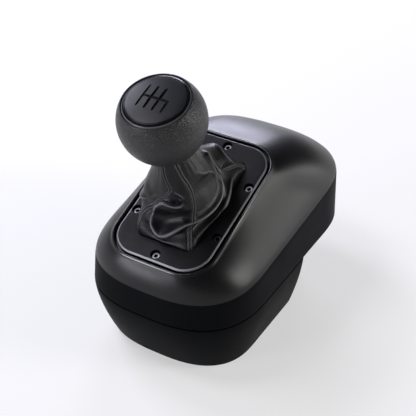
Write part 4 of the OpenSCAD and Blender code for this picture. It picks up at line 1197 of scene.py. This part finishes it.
@dataclass
class Boot:
    """The sewn leather boot, in three pieces parted by height."""

    hem: Spot = (40.4, 73.4, 6.0)
    hem_w: float = -4.4
    rise_w: float = 0.4
    neck_r: float = 9.9
    neck_w: float = 53.2
    around: int = 560
    parts: tuple[int, ...] = (3, 16, 18, 22, 24, 26, 24, 26, 24)
    easing: float = 4.0
    easing_reach: int = 34
    gather: float = 0.16
    gather_waves: int = 19
    gather_from: Place = (7.6, 1.2)
    gather_to: Place = (9.0, 0.6)
    fold_turns: float = 0.9
    fold_fade: float = 1.2
    fold_tip: Place = (0.1, 0.316)
    # How far the painted highlight spreads from a fold's crest.
    fold_highlight_reach: float = 0.5
    dent_turns: float = 1.6
    seam_groove: float = 0.75
    seam_groove_w: float = 0.34
    seam_welt: float = 0.35
    seam_welt_w: float = 2.2
    seam_end: Place = (0.1, 0.3)
    # Peak and reach of the painted highlight beside each seam's groove.
    seam_highlight: Place = (0.32, 0.45)
    stitch_pitch: float = 3.1
    stitch_l: float = 2.2
    stitch_r: float = 0.32
    stitch_off: float = 1.6
    stitch_first: int = 6
    cuts: Place = (14.0, 34.0)

    def hem_radius(self, angles: np.ndarray) -> np.ndarray:
        """Gives the hem's distance from the lever at each angle.

        Args:
            angles: Degrees round the lever.

        Returns:
            Radii in millimetres.
        """
        width, length, radius = self.hem
        edge = slope_outline(width, length, radius) - np.array([0.0, LEVER_V])
        at = np.degrees(np.arctan2(edge[:, 1], edge[:, 0])) % 360
        order = np.argsort(at)
        return np.interp(angles, at[order], np.hypot(edge[:, 0], edge[:, 1])[order], period=360)

    def turns(self, angles: np.ndarray) -> np.ndarray:
        """Gives the turns of the leather at each angle, eased from the drawn meridians.

        Args:
            angles: Degrees round the lever.

        Returns:
            Radius and height for each turn and angle.
        """
        drawn = np.array([[angle, *np.ravel(turns)] for angle, turns in BOOT_FALL.items()])
        step = 360 / len(angles)
        reach = np.arange(-self.easing_reach, self.easing_reach + 1)
        weights = np.exp(-0.5 * (reach * step / self.easing) ** 2)
        weights /= weights.sum()
        lines = []
        for column in drawn[:, 1:].T:
            line = np.interp(angles, drawn[:, 0], column, period=360)
            lines.append(sum(k * np.roll(line, int(s)) for k, s in zip(weights, reach)))
        rows = np.array(lines).reshape(-1, 2, len(angles))
        hem = self.hem_radius(angles)
        flat = np.ones(len(angles))
        ends = [np.array([hem, flat * self.hem_w]), np.array([hem, flat * self.rise_w])]
        return np.array(ends + list(rows) + [np.array([flat * self.neck_r, flat * self.neck_w])])

    def surface(self) -> tuple[np.ndarray, np.ndarray, np.ndarray]:
        """Runs a smooth curve through the turns at every angle.

        Returns:
            Points in the plate's frame by row and angle, the angles, and each row's place among the turns.
        """
        angles = np.arange(self.around) * 360.0 / self.around
        knots = self.turns(angles)
        padded = np.concatenate([2 * knots[:1] - knots[1:2], knots, 2 * knots[-1:] - knots[-2:-1]])
        rows, marks = [], []
        for k, parts in enumerate(self.parts):
            a, b, c, d = padded[k:k + 4]
            for i in range(parts):
                t = i / parts
                rows.append(0.5 * (2 * b + (c - a) * t + (2 * a - 5 * b + 4 * c - d) * t ** 2
                                   + (3 * b - a - 3 * c + d) * t ** 3))
                marks.append(k + t)
        rows.append(knots[-1])
        marks.append(len(self.parts))
        both = np.array(rows)
        turn = np.radians(angles)
        marks = np.array(marks)
        (first, rise), (last, fall) = self.gather_from, self.gather_to
        held = np.clip((marks - first) / rise, 0, 1)[:, None] * np.clip((last - marks) / fall, 0, 1)[:, None]
        waves = np.sin(self.gather_waves * turn + 2 * np.sin(3 * turn))
        r = both[:, 0] + self.gather * held * waves[None, :]
        points = np.stack([r * np.cos(turn), LEVER_V + r * np.sin(turn), both[:, 1]], axis=-1)
        return points, angles, marks

    def spot(self, points: np.ndarray, marks: np.ndarray, angle: float, mark: float) -> np.ndarray:
        """Finds a place on the surface.

        Args:
            points: The surface.
            marks: Each row's place among the turns.
            angle: Degrees round the lever.
            mark: The place among the turns.

        Returns:
            The point in the plate's frame.
        """
        row = float(np.interp(mark, marks, np.arange(len(marks))))
        low = min(int(row), len(marks) - 2)
        at = angle % 360 * self.around / 360
        left = int(at)
        pair = [points[low + k, left % self.around] * (1 - at + left)
                + points[low + k, (left + 1) % self.around] * (at - left) for k in (0, 1)]
        return pair[0] * (1 - row + low) + pair[1] * (row - low)

    def folded(self, points: np.ndarray, marks: np.ndarray) -> tuple[np.ndarray, np.ndarray]:
        """Raises the creases and presses the dents into the plain surface.

        Args:
            points: The plain surface.
            marks: Each row's place among the turns.

        Returns:
            The folded surface, and how much each point is rubbed bare.
        """
        lift, painted_highlight = np.zeros(points.shape[:2]), np.zeros(points.shape[:2])
        tip, tip_r = self.fold_tip
        for fold in BOOT_FOLDS:
            angles = np.unwrap([a for a, _ in fold.line], period=360)
            steps = np.linspace(0, len(angles) - 1, len(angles) * 12)
            along = np.interp(steps, range(len(angles)), angles)
            turns = np.interp(steps, range(len(angles)), [t for _, t in fold.line])
            line = np.array([self.spot(points, marks, a, t) for a, t in zip(along, turns)])
            kernel = np.hanning(15) / np.hanning(15).sum()
            line = np.array([np.convolve(np.pad(axis, 7, mode="reflect", reflect_type="odd"), kernel, "valid")
                             for axis in line.T]).T
            fade = np.clip(np.minimum(steps, steps[-1] - steps) / self.fold_fade, 0.0, 1.0)
            tree = tree_of(line)
            near = np.full(lift.shape, 1e9)
            held = np.zeros(lift.shape)
            beyond = self.fold_turns
            band = np.flatnonzero((marks > turns.min() - beyond) & (marks < turns.max() + beyond))
            for row in band:
                for column in range(self.around):
                    _, k, far = tree.find(points[row, column])
                    if far < 5 * fold.width and abs(marks[row] - turns[k]) < beyond:
                        near[row, column], held[row, column] = far, fade[k]
            held = eased(held)
            lift += fold.height * held * np.exp(-(np.sqrt(near ** 2 + tip) - tip_r) / fold.width)
            # A painted highlight along each fold's crest.
            painted_highlight = np.maximum(painted_highlight, fold.painted_highlight * held * bell(near, self.fold_highlight_reach))
        for angle, mark, depth, reach in BOOT_DENTS:
            far = np.linalg.norm(points - self.spot(points, marks, angle, mark), axis=2)
            lift -= depth * bell(far, reach) * (np.abs(marks - mark) < self.dent_turns)[:, None]
        return points + self.outward(points) * lift[..., None], painted_highlight

    def outward(self, points: np.ndarray) -> np.ndarray:
        """Gives the surface's normals."""
        along = np.gradient(points, axis=0)
        across = np.roll(points, -1, axis=1) - np.roll(points, 1, axis=1)
        normal = np.cross(across, along)
        return normal / np.linalg.norm(normal, axis=2, keepdims=True)

    def sewn(self, points: np.ndarray, angles: np.ndarray,
             marks: np.ndarray) -> tuple[np.ndarray, np.ndarray]:
        """Presses the corner seams into the leather, each a groove between two stitched rows.

        Args:
            points: The folded surface.
            angles: Its angles.
            marks: Each row's place among the turns.

        Returns:
            The surface with its seams, and how much painted highlight each point gets along the welts.
        """
        radius = np.hypot(points[..., 0], points[..., 1] - LEVER_V)
        lift, painted_highlight = np.zeros(radius.shape), np.zeros(radius.shape)
        (beyond, fade), (highlight_peak, highlight_reach) = self.seam_end, self.seam_highlight
        for seam in BOOT_SEAMS:
            middle = np.interp(marks, *zip(*seam))[:, None]
            off = (angles[None, :] - middle + 180) % 360 - 180
            far = np.abs(np.radians(off) * radius)
            held = np.clip((seam[-1][0] + beyond - marks) / fade, 0, 1)[:, None]
            lift += held * self.seam_welt * np.exp(-(far / self.seam_welt_w) ** 4)
            lift -= held * self.seam_groove * bell(far, self.seam_groove_w)
            lift -= held * 0.5 * self.seam_groove * bell(far - self.stitch_off, self.seam_groove_w)
            # A painted highlight along the welts, beside the groove.
            painted_highlight = np.maximum(painted_highlight, highlight_peak * held * bell(far - self.stitch_off / 2, highlight_reach))
        return points + self.outward(points) * lift[..., None], painted_highlight

    def stitches(self, points: np.ndarray, marks: np.ndarray) -> list[Piece]:
        """Lays a double row of stitches along each seam.

        Args:
            points: The sewn surface.
            marks: Each row's place among the turns.

        Returns:
            One small piece for each stitch, in the plate's frame.
        """
        laid: list[Piece] = []
        for seam in BOOT_SEAMS:
            middle = np.interp(marks, *zip(*seam))
            for side in (-1.0, 1.0):
                line = []
                for row, angle in enumerate(middle):
                    if marks[row] > seam[-1][0]:
                        break
                    ring = points[row]
                    here = ring[int(angle * self.around / 360) % self.around]
                    radius = math.hypot(here[0], here[1] - LEVER_V)
                    at = (angle + side * math.degrees(self.stitch_off / radius)) * self.around / 360
                    low = int(math.floor(at))
                    line.append(ring[low % self.around] * (1 - at + low)
                                + ring[(low + 1) % self.around] * (at - low))
                path = np.array(line)[self.stitch_first:]
                gone = np.concatenate([[0], np.cumsum(np.linalg.norm(np.diff(path, axis=0), axis=1))])
                for start in np.arange(1.0, gone[-1] - self.stitch_l, self.stitch_pitch):
                    ends = [np.array([np.interp(s, gone, path[:, k]) for k in range(3)])
                            for s in (start, start + self.stitch_l)]
                    laid.append(self.stitch(ends[0], ends[1]))
        return laid

    def stitch(self, start: np.ndarray, end: np.ndarray) -> Piece:
        """Copies the one stitch model between two points.

        Args:
            start: Where the thread comes up.
            end: Where it goes down.

        Returns:
            The stitch.
        """
        model = bpy.data.objects.get("stitch_model")
        if model is None:
            deselect()
            bpy.ops.mesh.primitive_uv_sphere_add(segments=8, ring_count=6, radius=1.0)
            model = started("stitch_model")
        way = Vector(end - start)
        turn = way.to_track_quat("Z", "Y").to_matrix().to_4x4()
        place = Matrix.Translation(Vector((start + end) / 2)) @ turn
        size = Matrix.Diagonal((self.stitch_r, self.stitch_r, way.length / 2 + 0.1, 1.0))
        twin = twin_of(model)
        twin.data.transform(Matrix.Scale(MM, 4) @ place @ size)
        return twin

    def mark_painted_highlight(self, whole: Piece, points: np.ndarray, painted_highlight: np.ndarray) -> None:
        """Keeps on the mesh how much painted highlight each point gets, for the leather's material.

        Args:
            whole: The boot's mesh in metres.
            points: The surface in millimetres.
            painted_highlight: A share for each of its points.
        """
        tree, shares = tree_of(points.reshape(-1, 3) * MM), painted_highlight.ravel()
        held = whole.data.attributes.new("painted_highlight", "FLOAT", "POINT")
        held.data.foreach_set("value", [shares[tree.find(vertex.co)[1]] for vertex in whole.data.vertices])

    def build(self) -> None:
        """Builds the boot, parts it by height and bakes each part in place of the CAD boot."""
        points, angles, marks = self.surface()
        points, crease_highlight = self.folded(points, marks)
        points, welt_highlight = self.sewn(points, angles, marks)
        whole = loft("boot_whole", list(points))
        smooth(whole, 180)
        # Keeps the painted highlight of crests and welts on the mesh.
        self.mark_painted_highlight(whole, points, np.maximum(crease_highlight, welt_highlight))
        threads = [(piece, piece.data.vertices[0].co.z / MM) for piece in self.stitches(points, marks)]
        tree = tree_of([vertex.co for vertex in whole.data.vertices])
        normals = [vertex.normal.copy() for vertex in whole.data.vertices]
        levels = (self.hem_w - 1.0, *self.cuts, self.neck_w + 5.0)
        bodies = (("housing", "cradle"), ("cradle", "yoke"), ("yoke", "lever"))
        names = ("boot_leather_lower", "boot_leather_middle", "boot_leather_upper")
        stand = plate_matrix(0, 0, 0)
        turn = stand.to_3x3()
        for k, name in enumerate(names):
            part = twin_of(whole)
            part.name = part.data.name = name
            edit(part)
            for level, up in ((levels[k], False), (levels[k + 1], True)):
                bpy.ops.mesh.select_all(action="SELECT")
                bpy.ops.mesh.bisect(plane_co=(0, 0, level * MM), plane_no=(0, 0, 1), clear_inner=not up,
                                    clear_outer=up)
            deselect()
            leather, faces = len(part.data.vertices), len(part.data.polygons)
            join([part] + [piece for piece, w in threads if levels[k] <= w < levels[k + 1]])
            dress(part, BOOT_HIDE, THREAD)
            part.data.polygons.foreach_set("material_index",
                                           [int(i >= faces) for i in range(len(part.data.polygons))])
            shaded = [turn @ (normals[tree.find(vertex.co)[1]] if vertex.index < leather else vertex.normal)
                      for vertex in part.data.vertices]
            put(part, stand)
            part.data.polygons.foreach_set("use_smooth", [True] * len(part.data.polygons))
            part.data.normals_split_custom_set_from_vertices(shaded)
            hand_between(part, bodies[k], "boot")
        for spare in (whole, bpy.data.objects["stitch_model"]):
            bpy.data.objects.remove(spare, do_unlink=True)


@dataclass(frozen=True)
class Spring:
    """A coil spring between two bodies; its foot and axis are in the plate's frame.

    Its first and last turns lie flat (dead); held, a few wire widths at each end, is not used.
    """

    name: str
    node: str
    bodies: tuple[str, str]
    foot: Spot
    axis: Spot
    length: float
    radius: float
    wire: float
    turns: float
    dead: float = 0.8
    held: float = 1.2
    sides: int = 10
    parts: int = 28

    def spot(self, along: float) -> np.ndarray:
        """Gives a point of the axis at a distance from the foot, in the plate's frame."""
        return np.array(self.foot) + np.array(self.axis) * along

    def ring(self, turn: float) -> np.ndarray:
        """Gives the wire's section after a number of turns.

        Args:
            turn: Turns from the foot; the first and the last lie flat.

        Returns:
            The section's points in the part's frame.
        """
        rise = min(1.0, max(0.0, (turn - self.dead) / (self.turns - 2 * self.dead)))
        axis, across = np.array(self.axis), np.array((0.0, 1.0, 0.0))
        out = across * math.cos(2 * math.pi * turn) + np.cross(axis, across) * math.sin(2 * math.pi * turn)
        middle = self.spot(self.wire / 2 + (self.length - self.wire) * rise) + out * self.radius
        sweep = np.linspace(0.0, 2 * math.pi, self.sides, endpoint=False)[:, None]
        section = middle + (out * np.cos(sweep) + axis * np.sin(sweep)) * self.wire / 2
        return on_plate(section[:, :2], section[:, 2])

    def build(self) -> None:
        """Winds the coil and bakes it in place of its CAD node."""
        rings = [self.ring(k / self.parts) for k in range(int(self.turns * self.parts) + 1)]
        tips = [np.tile(ring.mean(axis=0), (self.sides, 1)) for ring in (rings[0], rings[-1])]
        coil = loft(self.name, [tips[0], *rings, tips[1]])
        smooth(coil, 60)
        dress(coil, GROUND_STEEL)
        hand_between(coil, self.bodies, self.node)


SPRINGS: tuple[Spring, ...] = (
    Spring("return_spring_coil", "return_spring", ("yoke", "lever"), (0.0, LEVER_V, -13.95),
           (0.0, 0.0, 1.0), 17.9, 7.2, 1.4, 5),
    Spring("centring_spring_right", "centring_springs", ("cradle", "housing"), (16.15, 4.0, -50.0),
           (1.0, 0.0, 0.0), 8.2, 3.0, 0.7, 4),
    Spring("centring_spring_left", "centring_springs", ("cradle", "housing"), (-16.15, 4.0, -50.0),
           (-1.0, 0.0, 0.0), 8.2, 3.0, 0.7, 4),
)


@dataclass
class CarriedOver:
    """The CAD nodes whose shapes are right, dressed in the finish of their slot."""

    softened: tuple[str, ...] = ("clamp_jaw_left", "clamp_jaw_right", "jaw_pad_left", "jaw_pad_right",
                                 "table_pads", "overhang_floor", "base_plate", "rubber_feet")
    edge_mm: float = 0.35
    blackened: tuple[str, ...] = ("base_screws", "shell_screws")

    def build(self) -> None:
        """Gives every CAD node the material of its slot, and takes the sharpness off the edges that show."""
        parts = frame["record"]["subparts"]
        for part in parts:
            node = frame["nodes"][part["node"]]
            finish = OXIDE_AND_HOLE_SHADE if part["node"] in self.blackened else SLOT_FINISH[part["material_slot"]]
            made = finish.material()
            if not node.material_slots:
                node.data.materials.append(made)
            for place in node.material_slots:
                place.material = made
        for name in self.softened:
            soft = frame["nodes"][name].modifiers.new("soft_edge", "BEVEL")
            soft.width, soft.segments = self.edge_mm * MM, 2
            soft.limit_method, soft.angle_limit = "ANGLE", math.radians(40)
            soft.harden_normals = True
        LOG.info("%d CAD nodes dressed", len(parts))


@dataclass
class Studio:
    """The pale floor, the soft lights and the camera."""

    camera_at: Spot = (0.2719, -0.4680, 0.4462)
    camera_back: Spot = (0.42261, -0.70278, 0.57228)
    lens: float = 86.54
    ambient: str = "#c9ccd2"
    ambient_level: float = 0.08
    backdrop_top: Place = (0.0, 0.04)
    sweep: Place = (0.25, 0.8)
    sweep_glow: float = 0.5
    aim: Spot = (0.0, -0.01, 0.08)
    lamps: tuple[tuple[str, Spot, float, float, str], ...] = (
        ("right_box", (1.021, 0.264, 0.383), 0.36, 6.6, "#fffdfa"),
        ("rear_left_box", (-0.523, 0.896, 0.42), 0.40, 6.0, "#e8e8ff"),
        ("left_high_box", (-0.79, 0.202, 0.816), 0.36, 6.0, "#ececff"),
        ("top_left_box", (-0.476, -0.285, 1.033), 0.36, 4.4, "#f6f6ff"),
        ("front_left_box", (-0.547, -0.957, 0.195), 0.36, 6.6, "#f6f6ff"),
        ("right_low_box", (0.774, 0.763, 0.195), 0.36, 2.2, "#fffdfa"),
    )

    def lamp(self, name: str, spot: Spot, size: float, power: float, colour: str) -> None:
        """Adds one soft box that faces the part.

        Args:
            name: The lamp's name.
            spot: Where it hangs, in metres.
            size: Its width.
            power: Its power in watts.
            colour: Its colour.
        """
        deselect()
        bpy.ops.object.light_add(type="AREA", location=spot)
        lamp = bpy.context.object
        lamp.name = name
        lamp.data.shape = "SQUARE"
        lamp.data.size = size
        lamp.data.energy = power
        lamp.data.color = linear(colour)[:3]
        lamp.rotation_euler = (Vector(self.aim) - Vector(spot)).to_track_quat("-Z", "Y").to_euler()

    def floor(self) -> None:
        """Lays a pale floor that stays white to the camera and keeps a soft shadow."""
        deselect()
        bpy.ops.mesh.primitive_plane_add(size=8.0, location=(0, 0, 0))
        floor = started("floor")
        made = bpy.data.materials.new("white paper sweep")
        tree = fresh_tree(made)
        rays = add_node(tree, "ShaderNodeLightPath").outputs
        seen = maths(tree, "MAXIMUM", rays["Is Camera Ray"], rays["Is Glossy Ray"])
        seen = maths(tree, "MAXIMUM", seen, rays["Is Transmission Ray"])
        spot = add_node(tree, "ShaderNodeTexCoord").outputs["Object"]
        far = add_node(tree, "ShaderNodeVectorMath", {0: spot}, operation="LENGTH")
        near, wide = self.sweep
        glows = add_node(tree, "ShaderNodeMapRange", {
            "Value": far.outputs["Value"], "From Min": near, "From Max": wide, "To Min": self.sweep_glow,
            "To Max": 1.0}, interpolation_type="SMOOTHSTEP")
        share = maths(tree, "MULTIPLY", seen, glows.outputs["Result"])
        paper = add_node(tree, "ShaderNodeBsdfDiffuse", {"Color": linear("#f4f4f4")})
        glow = add_node(tree, "ShaderNodeEmission", {"Color": linear("#ffffff"), "Strength": 1.0})
        both = add_node(tree, "ShaderNodeMixShader", {0: share, 1: paper.outputs[0], 2: glow.outputs[0]})
        add_node(tree, "ShaderNodeOutputMaterial", {"Surface": both.outputs[0]})
        floor.data.materials.append(made)

    def world(self) -> None:
        """Sets a white backdrop for the camera; reflections see it round the horizon, under a dim ceiling."""
        scene = bpy.context.scene
        scene.world = scene.world or bpy.data.worlds.new("studio")
        tree = fresh_tree(scene.world)
        rays = add_node(tree, "ShaderNodeLightPath").outputs
        mirrored = maths(tree, "MAXIMUM", rays["Is Glossy Ray"], rays["Is Transmission Ray"])
        way = add_node(tree, "ShaderNodeTexCoord").outputs["Generated"]
        rise = add_node(tree, "ShaderNodeSeparateXYZ", {0: way}).outputs["Z"]
        first, last = self.backdrop_top
        low = add_node(tree, "ShaderNodeMapRange", {
            "Value": rise, "From Min": first, "From Max": last, "To Min": 1.0, "To Max": 0.0},
            interpolation_type="SMOOTHSTEP")
        band = maths(tree, "MULTIPLY", mirrored, low.outputs["Result"])
        paper = maths(tree, "MAXIMUM", rays["Is Camera Ray"], band)
        dim = add_node(tree, "ShaderNodeBackground",
                       {"Color": linear(self.ambient), "Strength": self.ambient_level})
        white = add_node(tree, "ShaderNodeBackground", {"Color": linear("#ffffff"), "Strength": 1.0})
        both = add_node(tree, "ShaderNodeMixShader", {0: paper, 1: dim.outputs[0], 2: white.outputs[0]})
        add_node(tree, "ShaderNodeOutputWorld", {"Surface": both.outputs[0]})

    def camera(self) -> None:
        """Sets the camera where the photograph was taken from."""
        deselect()
        bpy.ops.object.camera_add(location=self.camera_at)
        camera = bpy.context.object
        camera.rotation_euler = (-Vector(self.camera_back)).to_track_quat("-Z", "Y").to_euler()
        camera.data.lens = self.lens
        camera.data.sensor_width = 36.0
        camera.data.clip_start = 0.01
        bpy.context.scene.camera = camera

    def build(self) -> None:
        """Sets up the whole studio."""
        bpy.context.scene.view_settings.view_transform = "Standard"
        self.camera()
        self.floor()
        self.world()
        for row in self.lamps:
            self.lamp(*row)
        LOG.info("studio ready")


def main() -> None:
    """Builds the studio and every sub-assembly in order."""
    logging.basicConfig(level=logging.INFO, format="%(relativeCreated)6d %(message)s")
    Studio().build()
    CarriedOver().build()
    Housing().build()
    SlopePlate().build()
    Knob().build()
    Boot().build()
    for spring in SPRINGS:
        spring.build()


if __name__ == "__main__":
    main()
